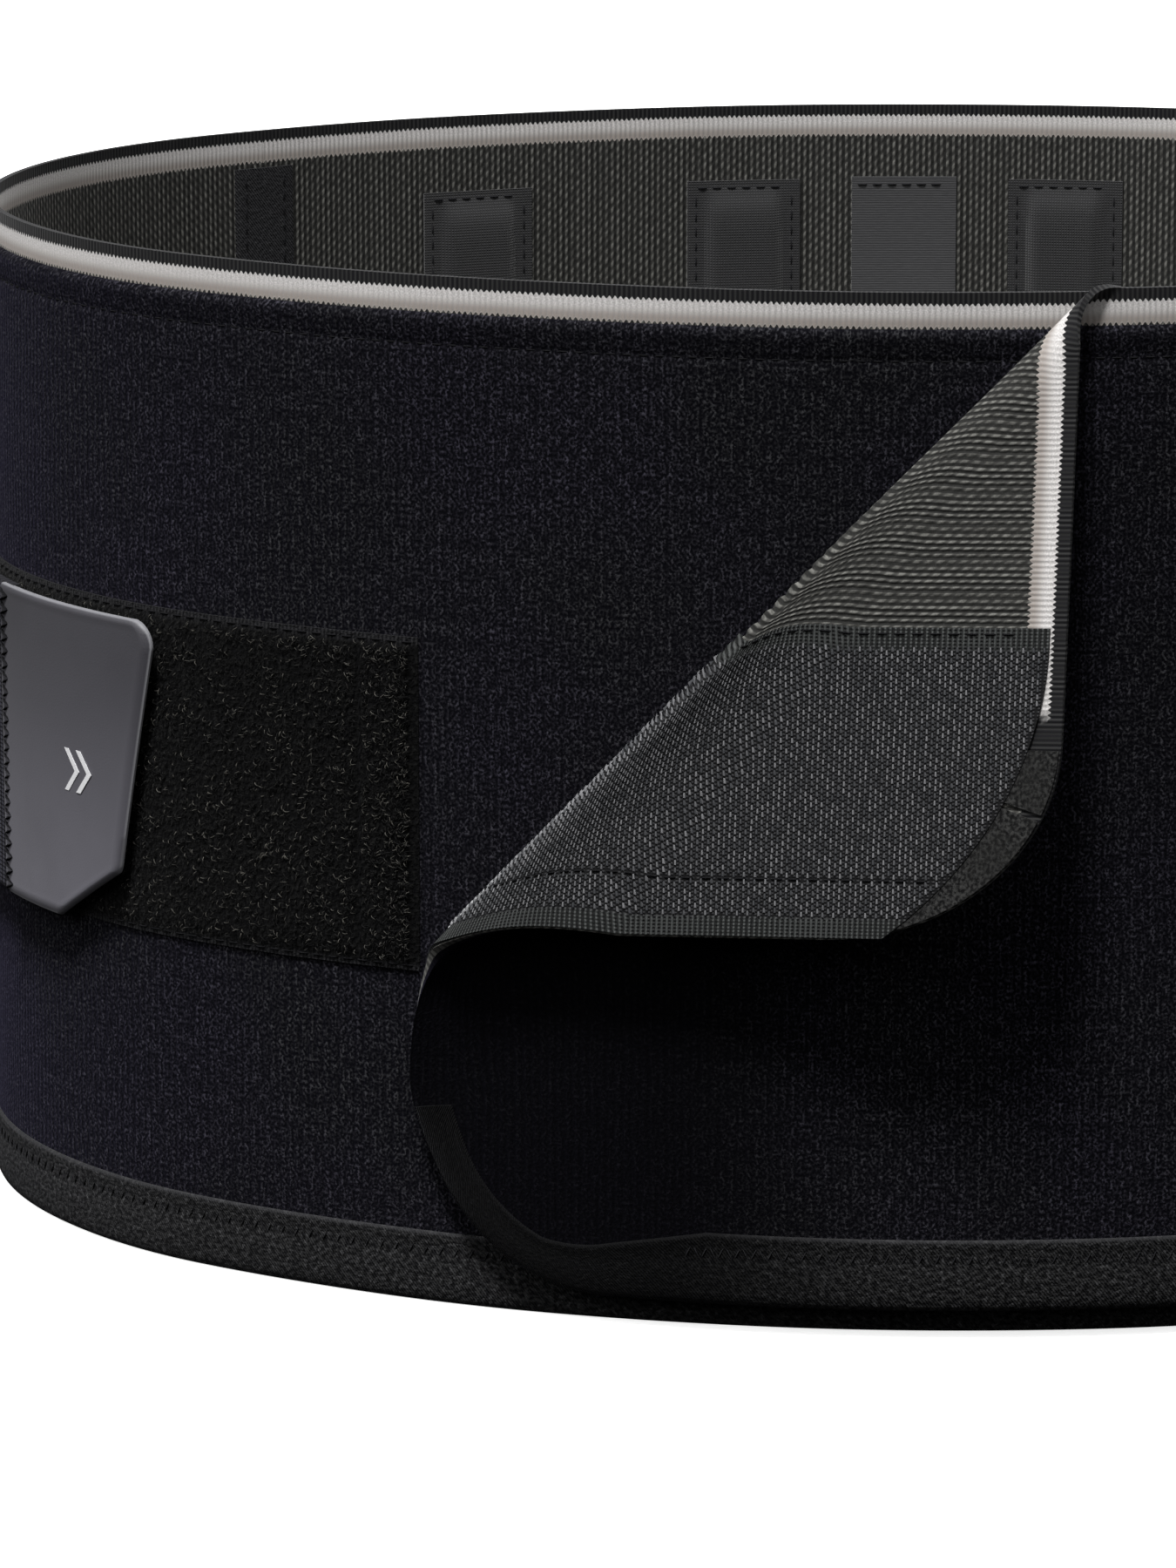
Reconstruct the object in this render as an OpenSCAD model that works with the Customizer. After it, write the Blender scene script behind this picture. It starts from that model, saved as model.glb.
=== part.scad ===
// Lumbar support belt, standing on its lower edge in its worn oval shape.
// Front faces -Y, the wearer's right is -X. Origin: middle of the oval, on the floor plane.
// The flap that closes over the front has its top corner folded back.

/* [Worn oval] */
// Half width of the worn oval, outer face
half_w = 182; // [165:1:200]
// Half depth of the worn oval, outer face
half_d = 130; // [122:1:138]
// Radius of the side curves
side_r = 105; // [98:1:112]
// Height of the belt
belt_h = 190; // [170:1:200]

/* [Fabric] */
// Thickness of the woven elastic web
web_t = 1.2; // [0.8:0.1:1.6]
// Thickness of the brushed face fabric
face_t = 1.0; // [0.6:0.1:1.4]
// Distance from the top edge down to the face fabric
stripe_drop = 7; // [5:0.5:9]
// Height of the folded binding on the bottom edge
binding_h = 13.5; // [10:0.5:18]

/* [Closure] */
// Arc length from the front centre to the end of the under panel
under_end = 60; // [40:1:70]
// Arc length from the front centre to the end of the flap
flap_end = 101; // [96:1:104]
// Stand-off of the flap from the under panel at the front centre
flap_lift = 6.25; // [6.25:0.25:8]
// Height of the flap's lower edge above the floor plane
flap_rise = 5.5; // [3:0.5:6]
// Radius of the flap's lower corner
flap_corner_r = 38; // [25:1:45]
// Width of the hook tape inside the flap end
hook_w = 60; // [50:1:65]
// Thickness of the hook tape
hook_t = 1.0; // [0.6:0.1:1.2]

/* [Folded corner] */
// Arc position at which the fold line meets the top edge
fold_top_s = 21.5; // [10:0.5:25]
// Height at which the fold line meets the flap end
fold_end_z = 78; // [70:1:85]
// Radius of the rolled fabric at the top edge
roll_top = 3; // [2:0.5:5]
// Radius of the rolled fabric at the flap end
roll_end = 22; // [14:1:24]
// Stand-off of the folded corner at the top edge
stand_top = 7.5; // [6:0.5:10]
// Stand-off of the folded corner at the flap end
stand_end = 10; // [8:0.5:14]
// Angle by which the folded corner springs open, in degrees
spring_open = 17; // [10:1:25]
// Radius of the flap's upper corner
top_corner_r = 38; // [25:1:45]

/* [Pull straps] */
// Height of the pull straps
strap_h = 60; // [50:1:64]
// Height of the straps' lower edges above the floor plane
strap_z = 62; // [55:1:65]
// Thickness of the elastic strap
strap_t = 1.6; // [1.2:0.1:1.8]
// Arc position of the tab's leading end
tab_tip = 154.5; // [153:0.5:165]
// Length of the tab
tab_l = 48; // [44:0.5:56]
// Thickness of the moulded tab
tab_t = 1.6; // [1.2:0.1:2]
// Arc position of the front end of the loop patch
patch_front = 102.5; // [102.5:0.5:110]
// Length of the loop patch
patch_l = 148; // [140:1:150]
// Thickness of the loop patch
patch_t = 1.2; // [0.8:0.1:1.4]

/* [Back] */
// Angle of the side seam behind the widest point, in degrees
seam_t = 44; // [40:1:48]
// Distance from the back centre to the inner stays
stay_inner = 34; // [28:1:40]
// Distance from the back centre to the outer stays
stay_outer = 92; // [80:1:100]
// Width of a spring stay
stay_w = 12; // [8:0.5:14]
// Thickness of a spring stay
stay_t = 0.8; // [0.5:0.1:1]

/* [Hidden] */
$fn = 96;

deg = 180 / PI;
slack = 0.3;                       // gap left between layers that aren't sewn together
sewn = 0.05;                       // gap left between layers that are sewn together
facet = 5;                         // length of a flat in the curved walls
binding_t = 0.5;                   // thickness of the binding tape
floor_lip = 0.6;                   // binding under the panels' lower edges
web_in = -face_t - web_t;          // inner face of the web, measured from the outer face
side_x = half_w - side_r;          // centre of a side curve
over_d = half_d + flap_lift;       // front half depth of the over panel
over_h = belt_h - 4;               // height of the over panel
over_top = flap_rise + over_h;

// Radius, half angle and half length of the front curve of an oval of half depth d.
function front_r(d) = (side_x ^ 2 + d ^ 2 - side_r ^ 2) / (2 * (d - side_r));
function front_a(d) = atan2(side_x, front_r(d) - d);
function front_l(d) = front_r(d) * front_a(d) / deg;
// Arc position of a point on the side curve, t degrees behind the widest point.
function side_s(d, t) = front_l(d) + side_r * (90 - front_a(d) + t) / deg;

// Point beside the oval of half depth d: arc position s, with s = 0 at the front centre, and
// distance n outside it.
function oval_point(d, s, n) = let (
        r = front_r(d),
        past = abs(s) - front_l(d),
        t = past < 0 ? abs(s) / r * deg : front_a(d) + past / side_r * deg
    ) past < 0
        ? [sign(s) * (r + n) * sin(t), r - d - (r + n) * cos(t)]
        : [sign(s) * (side_x + (side_r + n) * sin(t)), -(side_r + n) * cos(t)];

// Arc positions from s0 to s1 at which the wall's facets meet.
function stops(s0, s1) = concat(
    [s0], [for (i = [floor(s0 / facet) + 1 : 1 : ceil(s1 / facet) - 1]) i * facet], [s1]);

// Wall along the oval, with faces n0 and n1 off it, from height z0 to z1.
module strip(d, s0, s1, n0, n1, z0, z1) {
    at = stops(s0, s1);
    last = len(at) - 1;
    translate([0, 0, z0]) linear_extrude(z1 - z0) polygon(concat(
        [for (i = [0 : last]) oval_point(d, at[i], n1)],
        [for (i = [last : -1 : 0]) oval_point(d, at[i], n0)]));
}

module on_right() mirror([1, 0, 0]) children();
module on_back() mirror([0, 1, 0]) children();

// U-shaped binding folded over the lower edge of a wall.
module binding(d, s0, s1) {
    strip(d, s0, s1, 0, binding_t, 0, binding_h);
    strip(d, s0, s1, web_in - binding_t, web_in, 0, binding_h);
    strip(d, s0, s1, web_in - binding_t, binding_t, 0, floor_lip);
}

// ---- Back body: back panel, stays and the sewn ends of the straps ----

back_half = side_s(half_d, -seam_t) - slack; // from the back centre to the side seam
pocket_w = stay_w * 2;
pocket_wall = 0.7;
pocket_in = web_in - stay_t - 2 * pocket_wall;
pocket_z = binding_h + 2;
stay_z = pocket_z + 6;
stay_play = 0.2;                   // room beside a stay
stay_skim = 0.05;                  // room in front of and behind a stay
STAY_S = [-stay_outer, -stay_inner, stay_inner, stay_outer];

module back_web() {
    color("dimgray") on_back()
        strip(half_d, -back_half, back_half, web_in, -face_t, floor_lip, belt_h);
}

module back_face() {
    color("#17171b") on_back()
        strip(half_d, -back_half, back_half, -face_t, 0, floor_lip, belt_h - stripe_drop);
}

module back_binding() {
    color("#1d1d1f") on_back() binding(half_d, -back_half, back_half);
}

// Closed sleeve sewn inside the back web, with room for a stay.
module stay_pocket(s) {
    color("#222226") on_back() difference() {
        strip(half_d, s - pocket_w / 2, s + pocket_w / 2, pocket_in, web_in - sewn,
              pocket_z, belt_h - pocket_z);
        strip(half_d, s - stay_w / 2 - stay_play, s + stay_w / 2 + stay_play,
              pocket_in + pocket_wall - stay_skim, web_in - pocket_wall + stay_skim,
              stay_z - 1, belt_h - stay_z + 1);
    }
}

module stay(s) {
    color("silver") on_back()
        strip(half_d, s - stay_w / 2, s + stay_w / 2, pocket_in + pocket_wall,
              web_in - pocket_wall, stay_z, belt_h - stay_z);
}

label_h = 34;
label_half_w = 11;
label_t = 0.4;
label_top = belt_h - stripe_drop - 8;

module care_label() {
    color("whitesmoke") on_back()
        strip(half_d, -label_half_w, label_half_w, web_in - label_t, web_in - sewn,
              label_top - label_h, label_top);
}

anchor_s = 66;                     // from the back centre to the anchor patch
anchor_w = 20;
anchor_t = 1;
anchor_lap = 3;                    // anchor patch above and below the strap

module strap_anchor() {
    color("#26262a") on_back()
        strip(half_d, anchor_s, anchor_s + anchor_w, strap_t + sewn, strap_t + anchor_t,
              strap_z - anchor_lap, strap_z + strap_h + anchor_lap);
}

module strap_rear() {
    color("#1b1b1e") on_back()
        strip(half_d, anchor_s, back_half, sewn, strap_t, strap_z, strap_z + strap_h);
}

// ---- Wings: front panels from the side seams to the closure ----

under_half = side_s(half_d, seam_t) - slack;
over_half = side_s(over_d, seam_t) - slack;

module under_web() {
    color("dimgray") on_right()
        strip(half_d, -under_end, under_half, web_in, -face_t, floor_lip, belt_h);
}

module under_face() {
    color("#17171b") on_right()
        strip(half_d, -under_end, under_half, -face_t, 0, floor_lip, belt_h - stripe_drop);
}

module under_binding() {
    color("#1d1d1f") on_right() binding(half_d, -under_end, under_half);
}

// Arc position on an oval of half depth d that lies at the same place as s on the base oval,
// for points on the shared side curve.
function match_s(d, s) = s + side_s(d, 0) - side_s(half_d, 0);

patch_lap = 1.5;                   // loop patch above the strap

module loop_patch(d) {
    color("#101012")
        strip(d, patch_front, match_s(d, patch_front + patch_l), sewn, patch_t,
              strap_z, strap_z + strap_h + patch_lap);
}

strap_n = patch_t + slack;         // straps ride over the patch
tab_n = strap_n + hook_t + slack;  // and the tab over its own hook tape
hem_l = 8;                         // turned end of the elastic next to the tab
hem_t = 0.8;                       // extra thickness there
elastic_end = tab_tip + tab_l + hem_l;

// Free elastic between the side seam and the tab.
module strap_mid(d) {
    color("#1b1b1e")
        strip(d, match_s(d, elastic_end + slack), side_s(d, seam_t) - slack,
              strap_n, strap_n + strap_t, strap_z, strap_z + strap_h);
}

// Turned and stitched end of the elastic, next to the tab.
module strap_end(d) {
    color("#2a2a2e")
        strip(d, match_s(d, tab_tip + tab_l + slack), match_s(d, elastic_end),
              strap_n, strap_n + strap_t + hem_t, strap_z, strap_z + strap_h);
}

// Outline of a tab seen from outside: u runs forward from the seam, v up from the lower edge.
tab_nose_r = 5;
tab_slant = 8;                     // how far the leading edge leans back at the bottom
tab_chin_l = 20;                   // length of the sloping lower corner
tab_chin_h = 9;                    // and its height
tab_rim = 4;                       // tab around its hook tape

module tab_outline(grow) {
    hull() {
        translate([-1 - grow, -grow]) square([1, strap_h + 2 * grow]);
        translate([tab_l - tab_nose_r, strap_h - tab_nose_r])
            circle(r = tab_nose_r + grow, $fn = 32);
        translate([tab_l - tab_slant - tab_nose_r, tab_chin_h + tab_nose_r])
            circle(r = tab_nose_r + grow, $fn = 32);
        translate([tab_l - tab_slant - tab_chin_l, -grow]) square([1, 1]);
    }
}

// Keeps the part of a wall on the +X side that lies behind a tab's outline.
module behind_tab(grow) {
    mid = (tab_tip + tab_l / 2 - side_s(half_d, 0)) / side_r * deg;
    reach = 40;                    // cutting depth to each side of the wall
    intersection() {
        children();
        translate([side_x, 0, strap_z]) rotate([0, 0, mid])
            translate([side_r - reach, tab_l / 2, 0]) rotate([90, 0, 90]) mirror([1, 0, 0])
                linear_extrude(2 * reach) tab_outline(grow);
    }
}

module tab() {
    color("#4a4a50") behind_tab(0)
        strip(half_d, tab_tip - 2, tab_tip + tab_l, tab_n, tab_n + tab_t,
              strap_z - 2, strap_z + strap_h + 2);
}

module tab_hook() {
    color("#202024") behind_tab(-tab_rim)
        strip(half_d, tab_tip, tab_tip + tab_l - tab_rim, strap_n, tab_n - sewn,
              strap_z, strap_z + strap_h);
}

// ---- Flap end and its folded corner ----

hook_in = 5;                       // hook tape is set in from the flap's edges

// Horizontal direction along the flap, and the direction in which it faces.
facing_s = -15;                    // arc position of the point that sets them
facing_a = facing_s / front_r(over_d) * deg;
H = [cos(facing_a), sin(facing_a), 0];
M = [sin(facing_a), -cos(facing_a), 0];

fold_l = norm([fold_top_s + flap_end, over_top - fold_end_z]);
fold_a = atan2(over_top - fold_end_z, fold_top_s + flap_end);

// Half width, in the flat fabric, of the rolled band around the fold line.
function band(u) = (roll_top + (roll_end - roll_top) * u / fold_l) * PI / 2;
// Flat fabric point u along the fold line from the top edge and q past it, as [s, z].
function fabric(u, q) = [
    fold_top_s - u * cos(fold_a) - q * sin(fold_a),
    over_top - u * sin(fold_a) + q * cos(fold_a)
];
// Flat fabric point [s, z] as [u, q].
function fold_coords(p) = let (
        dx = p[0] - fold_top_s,
        dz = p[1] - over_top
    ) [-dx * cos(fold_a) - dz * sin(fold_a), -dx * sin(fold_a) + dz * cos(fold_a)];
// Point on the over panel's outer face where the rolled band starts.
function roll_start(u) = let (f = fabric(u, -band(u)), p = oval_point(over_d, f[0], 0))
    [p[0], p[1], f[1]];

function unit(v) = v / norm(v);

// The folded corner is flat: its edge next to the roll runs from LIFT_TOP to LIFT_END.
LIFT_TOP = roll_start(0) + stand_top * M;
LIFT_END = roll_start(fold_l) + stand_end * M;
G = unit(LIFT_END - LIFT_TOP);     // along the fold, from the top edge to the flap end
M2 = unit(M - (M * G) * G);
Q = cos(spring_open) * cross(M2, G) + sin(spring_open) * M2; // from the roll to the free corner
N = cross(G, Q);                   // outward normal of the folded corner

// Flat fabric point [s, z] on the folded corner.
function folded(p) = let (f = fold_coords(p))
    [f[0] * norm(LIFT_END - LIFT_TOP) / fold_l, f[1] - band(f[0])];

// Rounded upper corner of the flat flap, set in from its edges.
function corner_round(in, r) = [
    for (i = [0 : 12]) let (t = 90 + 90 * i / 12)
        [-flap_end + in + r + r * cos(t), over_top - in - r + r * sin(t)]
];

// Fabric beyond the roll, set in from the top edge, from arc position inner_s to the end.
module corner_outline(in, r, inner_s) {
    intersection() {
        polygon([for (p = concat([[inner_s, over_top - in]], corner_round(in, r),
            [[-flap_end + in, 20], [inner_s, 20]])) folded(p)]);
        square([fold_l, 200]);
    }
}

module in_fold_plane(n) {
    multmatrix([
        [G[0], Q[0], N[0], LIFT_TOP[0] + n * N[0]],
        [G[1], Q[1], N[1], LIFT_TOP[1] + n * N[1]],
        [G[2], Q[2], N[2], LIFT_TOP[2] + n * N[2]],
        [0, 0, 0, 1]
    ]) children();
}

module corner_face() {
    color("#17171b") in_fold_plane(0) linear_extrude(face_t - sewn)
        corner_outline(stripe_drop, top_corner_r - stripe_drop, fold_top_s);
}

module corner_web() {
    color("dimgray") in_fold_plane(face_t) linear_extrude(web_t)
        corner_outline(0, top_corner_r, fold_top_s);
}

module corner_hook() {
    color("#2c2c30") in_fold_plane(face_t + web_t + sewn) linear_extrude(hook_t)
        corner_outline(hook_in, top_corner_r - hook_in, -flap_end + hook_w);
}

// A point seen along M: distance along H, and height.
function flat_view(p) = [p * H, p[2]];

end_x = front_r(over_d) * sin(flap_end / front_r(over_d) * deg);
reach = 60;                        // how far the cutting shapes go past the fabric
beyond = 300;                      // far side of the cut, clear of the flap

// Removes the rolled and folded part of the over panel, and rounds its lower corner.
module trim_flap() {
    high = flat_view(roll_start(-20));
    low = flat_view(roll_start(fold_l + reach));
    difference() {
        children();
        // beyond the start of the roll
        multmatrix([
            [H[0], 0, M[0], 0],
            [H[1], 0, M[1], 0],
            [0, 1, 0, 0],
            [0, 0, 0, 1]
        ]) translate([0, 0, over_d - reach]) linear_extrude(2 * reach)
            polygon([high, low, [-beyond, low[1]], [-beyond, beyond], [high[0], beyond]]);
        // lower corner
        translate([-end_x, -over_d + reach, flap_rise]) rotate([90, 0, 0])
            linear_extrude(2 * reach) difference() {
                translate([-5, -5]) square(flap_corner_r + 5);
                translate([flap_corner_r, flap_corner_r]) circle(r = flap_corner_r);
            }
    }
}

module over_web() {
    color("dimgray") trim_flap()
        strip(over_d, -flap_end, over_half, web_in, -face_t, flap_rise + floor_lip, over_top);
}

module over_face() {
    color("#17171b") trim_flap()
        strip(over_d, -flap_end, over_half, -face_t, 0, flap_rise + floor_lip,
              over_top - stripe_drop);
}

// The binding starts behind the rounded corner, where two of the wall's facets meet.
module over_binding() {
    color("#1d1d1f") translate([0, 0, flap_rise])
        binding(over_d, ceil((flap_corner_r - flap_end) / facet) * facet, over_half);
}

module flap_hook() {
    color("#2c2c30") trim_flap()
        strip(over_d, -flap_end, -flap_end + hook_w, web_in - hook_t, web_in - sewn,
              flap_rise + binding_h + 1, over_top);
}

back_web();
back_face();
back_binding();
care_label();
stay_pocket(STAY_S[0]);  // stay_pocket_1
stay_pocket(STAY_S[1]);  // stay_pocket_2
stay_pocket(STAY_S[2]);  // stay_pocket_3
stay_pocket(STAY_S[3]);  // stay_pocket_4
stay(STAY_S[0]);  // stay_1
stay(STAY_S[1]);  // stay_2
stay(STAY_S[2]);  // stay_3
stay(STAY_S[3]);  // stay_4
on_right() strap_anchor();  // strap_anchor_right
strap_anchor();  // strap_anchor_left
on_right() strap_rear();  // strap_rear_right
strap_rear();  // strap_rear_left
under_web();
under_face();
under_binding();
on_right() loop_patch(half_d);  // loop_patch_right
on_right() strap_mid(half_d);  // strap_mid_right
over_web();
over_face();
over_binding();
flap_hook();
loop_patch(over_d);  // loop_patch_left
strap_mid(over_d);  // strap_mid_left
corner_web();
corner_face();
corner_hook();
on_right() strap_end(half_d);  // strap_end_right
on_right() tab();  // tab_right
on_right() tab_hook();  // tab_hook_right
strap_end(over_d);  // strap_end_left
tab();  // tab_left
tab_hook();  // tab_hook_left
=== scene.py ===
"""Looks of the lumbar support belt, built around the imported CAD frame.

Fabric is described in flat coordinates, in millimetres: s runs along the belt from the front
centre (negative towards the wearer's right), z is the height, n the distance outside the face
fabric's outer side. A place function puts such a point in space, and every layer uses it.
"""
import math

import bpy
import numpy as np
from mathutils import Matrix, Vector


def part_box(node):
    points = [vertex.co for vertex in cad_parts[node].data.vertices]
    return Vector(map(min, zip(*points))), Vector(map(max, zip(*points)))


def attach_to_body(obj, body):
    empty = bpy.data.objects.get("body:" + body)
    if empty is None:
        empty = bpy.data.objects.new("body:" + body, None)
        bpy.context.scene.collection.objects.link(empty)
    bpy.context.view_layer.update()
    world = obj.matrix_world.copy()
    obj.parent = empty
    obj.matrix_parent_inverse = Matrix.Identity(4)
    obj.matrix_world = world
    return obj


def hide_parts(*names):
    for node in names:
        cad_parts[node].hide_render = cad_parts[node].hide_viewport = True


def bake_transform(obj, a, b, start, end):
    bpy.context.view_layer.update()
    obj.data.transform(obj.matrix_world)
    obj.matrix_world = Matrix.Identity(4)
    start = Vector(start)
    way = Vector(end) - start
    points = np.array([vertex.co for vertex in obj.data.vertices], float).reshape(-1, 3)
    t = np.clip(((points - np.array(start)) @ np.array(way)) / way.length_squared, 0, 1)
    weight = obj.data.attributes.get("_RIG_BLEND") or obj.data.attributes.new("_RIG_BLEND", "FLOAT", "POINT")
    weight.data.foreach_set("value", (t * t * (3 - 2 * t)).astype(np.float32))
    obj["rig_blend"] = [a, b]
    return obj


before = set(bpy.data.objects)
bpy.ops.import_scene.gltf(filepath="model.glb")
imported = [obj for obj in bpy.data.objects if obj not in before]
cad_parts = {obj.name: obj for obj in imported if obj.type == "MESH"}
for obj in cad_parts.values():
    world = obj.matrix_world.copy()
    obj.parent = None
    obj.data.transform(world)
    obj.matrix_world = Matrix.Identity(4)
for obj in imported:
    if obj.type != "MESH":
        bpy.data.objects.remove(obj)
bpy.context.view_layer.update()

MM = 1000.0
rng = np.random.default_rng(7)


def corner_mm(node, which, axis):
    """Rounded coordinate of a CAD node's box: which 0 is the low corner, 1 the high one."""
    return round(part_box(node)[which][axis] * MM * 4) / 4


# ---- Sizes read from the frame, in mm ----

half_w = -corner_mm("under_face", 0, 0)
half_d = corner_mm("back_face", 1, 1)
belt_h = corner_mm("back_web", 1, 2)
over_top = corner_mm("over_web", 1, 2) if corner_mm("over_web", 1, 2) > belt_h else belt_h + 1.5
flap_rise = corner_mm("over_binding", 0, 2)
hem_h = corner_mm("under_binding", 1, 2)
strap_z = corner_mm("strap_mid_right", 0, 2)
strap_h = corner_mm("strap_mid_right", 1, 2) - strap_z
patch_top = corner_mm("loop_patch_right", 1, 2)

# ---- Sizes shared with the CAD source, in mm ----

side_r = 105.0
over_d = half_d + 6.25
web_in, web_out = -2.2, -1.0
stripe_drop = 7.0
under_end = 60.0
flap_end = 101.0
flap_low_r, flap_top_r = 38.0, 38.0
hook_w = 60.0
fold_top_s, fold_end_z = 21.5, 78.0
roll_top, roll_end = 3.0, 22.0
stand_top, stand_end = 7.5, 10.0
spring_open = math.radians(17)
tab_tip, tab_l = 154.5, 48.0
patch_front, patch_l = 102.5, 148.0
seam_t = math.radians(44)
wing_lap = 25.0                 # wings reach this far behind the side hinge
side_x = half_w - side_r


# ---- Where fabric points lie ----

def smooth(t):
    """Soft step: t kept between 0 and 1, flat at both ends."""
    t = np.clip(t, 0, 1)
    return t * t * (3 - 2 * t)


def rounded(t):
    """Rounded edge: t kept between 0 and 1, steep at 0 and flat at 1."""
    return np.sqrt(1 - (1 - np.clip(t, 0, 1)) ** 2)


class Oval:
    """Half oval of half depth d made of a front curve and two side curves."""

    def __init__(self, d):
        self.d = d
        self.r = (side_x ** 2 + d ** 2 - side_r ** 2) / (2 * (d - side_r))
        self.a = math.atan2(side_x, self.r - d)
        self.l = self.r * self.a
        self.wide = self.l + side_r * (math.pi / 2 - self.a)

    def front(self, s, n):
        a = np.abs(s)
        t = a / self.r
        u = self.a + (a - self.l) / side_r
        on_front = a < self.l
        x = np.where(on_front, (self.r + n) * np.sin(t), side_x + (side_r + n) * np.sin(u))
        y = np.where(on_front, self.r - self.d - (self.r + n) * np.cos(t),
                     -(side_r + n) * np.cos(u))
        return x * np.where(s < 0, -1, 1), y


BASE, OVER = Oval(half_d), Oval(over_d)


def ripple(p):
    """Slight unevenness of soft fabric, the same for every layer at a place."""
    x, y, z = p[..., 0], p[..., 1], p[..., 2]
    return (0.38 * np.sin(x / 27 + z / 43) * np.sin(y / 23 - z / 57 + 1.1)
            + 0.22 * np.sin(x / 13.1 - z / 31 + 0.6) * np.sin(z / 37 + y / 19))


def with_ripple(curve):
    """Place function from curve(s, n) -> x, y."""
    def place(s, z, n):
        s, z, n = np.broadcast_arrays(*(np.asarray(v, float) for v in (s, z, n)))
        x, y = curve(s, 0 * n)
        n = n + ripple(np.stack([x, y, z], -1))
        x, y = curve(s, n)
        return np.stack([x, y, z], -1)
    return place


def ring_curve(oval):
    """From the front centre round to the back centre, on the given front oval."""
    def curve(s, n):
        a = np.abs(s)
        x1, y1 = oval.front(np.minimum(a, oval.wide), n)
        x2, y2 = BASE.front(np.maximum(BASE.wide - (a - oval.wide), 0), n)
        behind = a > oval.wide
        sign = np.where(s < 0, -1, 1)
        return np.where(behind, x2, x1) * sign, np.where(behind, -y2, y1)
    return curve


def back_curve(s, n):
    x, y = BASE.front(s, n)
    return x, -y


on_under = with_ripple(ring_curve(BASE))
on_over = with_ripple(ring_curve(OVER))
on_back = with_ripple(back_curve)


def unit(v):
    return v / np.linalg.norm(v, axis=-1, keepdims=True)


def over_point(s, z):
    x, y = OVER.front(s, 0 * s)
    return np.stack(np.broadcast_arrays(x, y, z), -1)


# The flap with its rolled and folded corner, after the CAD source.
facing = -15.0 / OVER.r
FACE_M = np.array([math.sin(facing), -math.cos(facing), 0.0])
fold_l = math.hypot(over_top - fold_end_z, fold_top_s + flap_end)
fold_a = math.atan2(over_top - fold_end_z, fold_top_s + flap_end)
COS_F, SIN_F = math.cos(fold_a), math.sin(fold_a)


def band(u):
    return (roll_top + (roll_end - roll_top) * np.clip(u / fold_l, 0, 1.15)) * math.pi / 2


def flat_point(u, q):
    return fold_top_s - u * COS_F - q * SIN_F, over_top - u * SIN_F + q * COS_F


def fold_coords(s, z):
    dx, dz = s - fold_top_s, z - over_top
    return -dx * COS_F - dz * SIN_F, -dx * SIN_F + dz * COS_F


def roll_start(u):
    s, z = flat_point(u, -band(u))
    return over_point(s, z)


LIFT_TOP = roll_start(np.array(0.0)) + stand_top * FACE_M
LIFT_END = roll_start(np.array(fold_l)) + stand_end * FACE_M
FOLD_G = unit(LIFT_END - LIFT_TOP)
FOLD_M = unit(FACE_M - (FACE_M @ FOLD_G) * FOLD_G)
FOLD_Q = math.cos(spring_open) * np.cross(FOLD_M, FOLD_G) + math.sin(spring_open) * FOLD_M


def flap_skin(s, z):
    """Outer side of the flap's face fabric, with the roll and the folded corner."""
    u, q = fold_coords(s, z)
    c = band(u)
    t = np.clip((q + c) / (2 * c), 0, 1)[..., None]
    s0, z0 = flat_point(u, -c)
    s1, z1 = flat_point(u, -c - 0.5)
    start = over_point(s0, z0)
    tangent = (start - over_point(s1, z1)) / 0.5
    end = LIFT_TOP + (u / fold_l)[..., None] * (LIFT_END - LIFT_TOP)
    gap = np.linalg.norm(end - start, axis=-1)
    length = 2 * c
    k = (np.maximum(0.15 * length, (length - 0.30 * gap) / 1.75) * 0.8)[..., None]
    roll = ((1 - t) ** 3 * start + 3 * (1 - t) ** 2 * t * (start + k * tangent)
            + 3 * (1 - t) * t * t * (end - k * FOLD_Q) + t ** 3 * end)
    plate = end + (q - c)[..., None] * FOLD_Q
    q, c = q[..., None], c[..., None]
    return np.where(q < -c, over_point(s, z), np.where(q > c, plate, roll))


def on_flap(s, z, n):
    s, z, n = np.broadcast_arrays(*(np.asarray(v, float) for v in (s, z, n)))
    h = 0.4
    ds = flap_skin(s + h, z) - flap_skin(s - h, z)
    dz = flap_skin(s, z + h) - flap_skin(s, z - h)
    p = flap_skin(s, z)
    return p + (n + ripple(p))[..., None] * unit(np.cross(ds, dz))


def fold_weight(s, z):
    """0 on the flap, 1 on its folded corner, smooth across the roll."""
    u, q = fold_coords(s, z)
    return smooth((q + band(u)) / (2 * band(u)))


# ---- Mesh building ----

MATERIALS = {}


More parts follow.
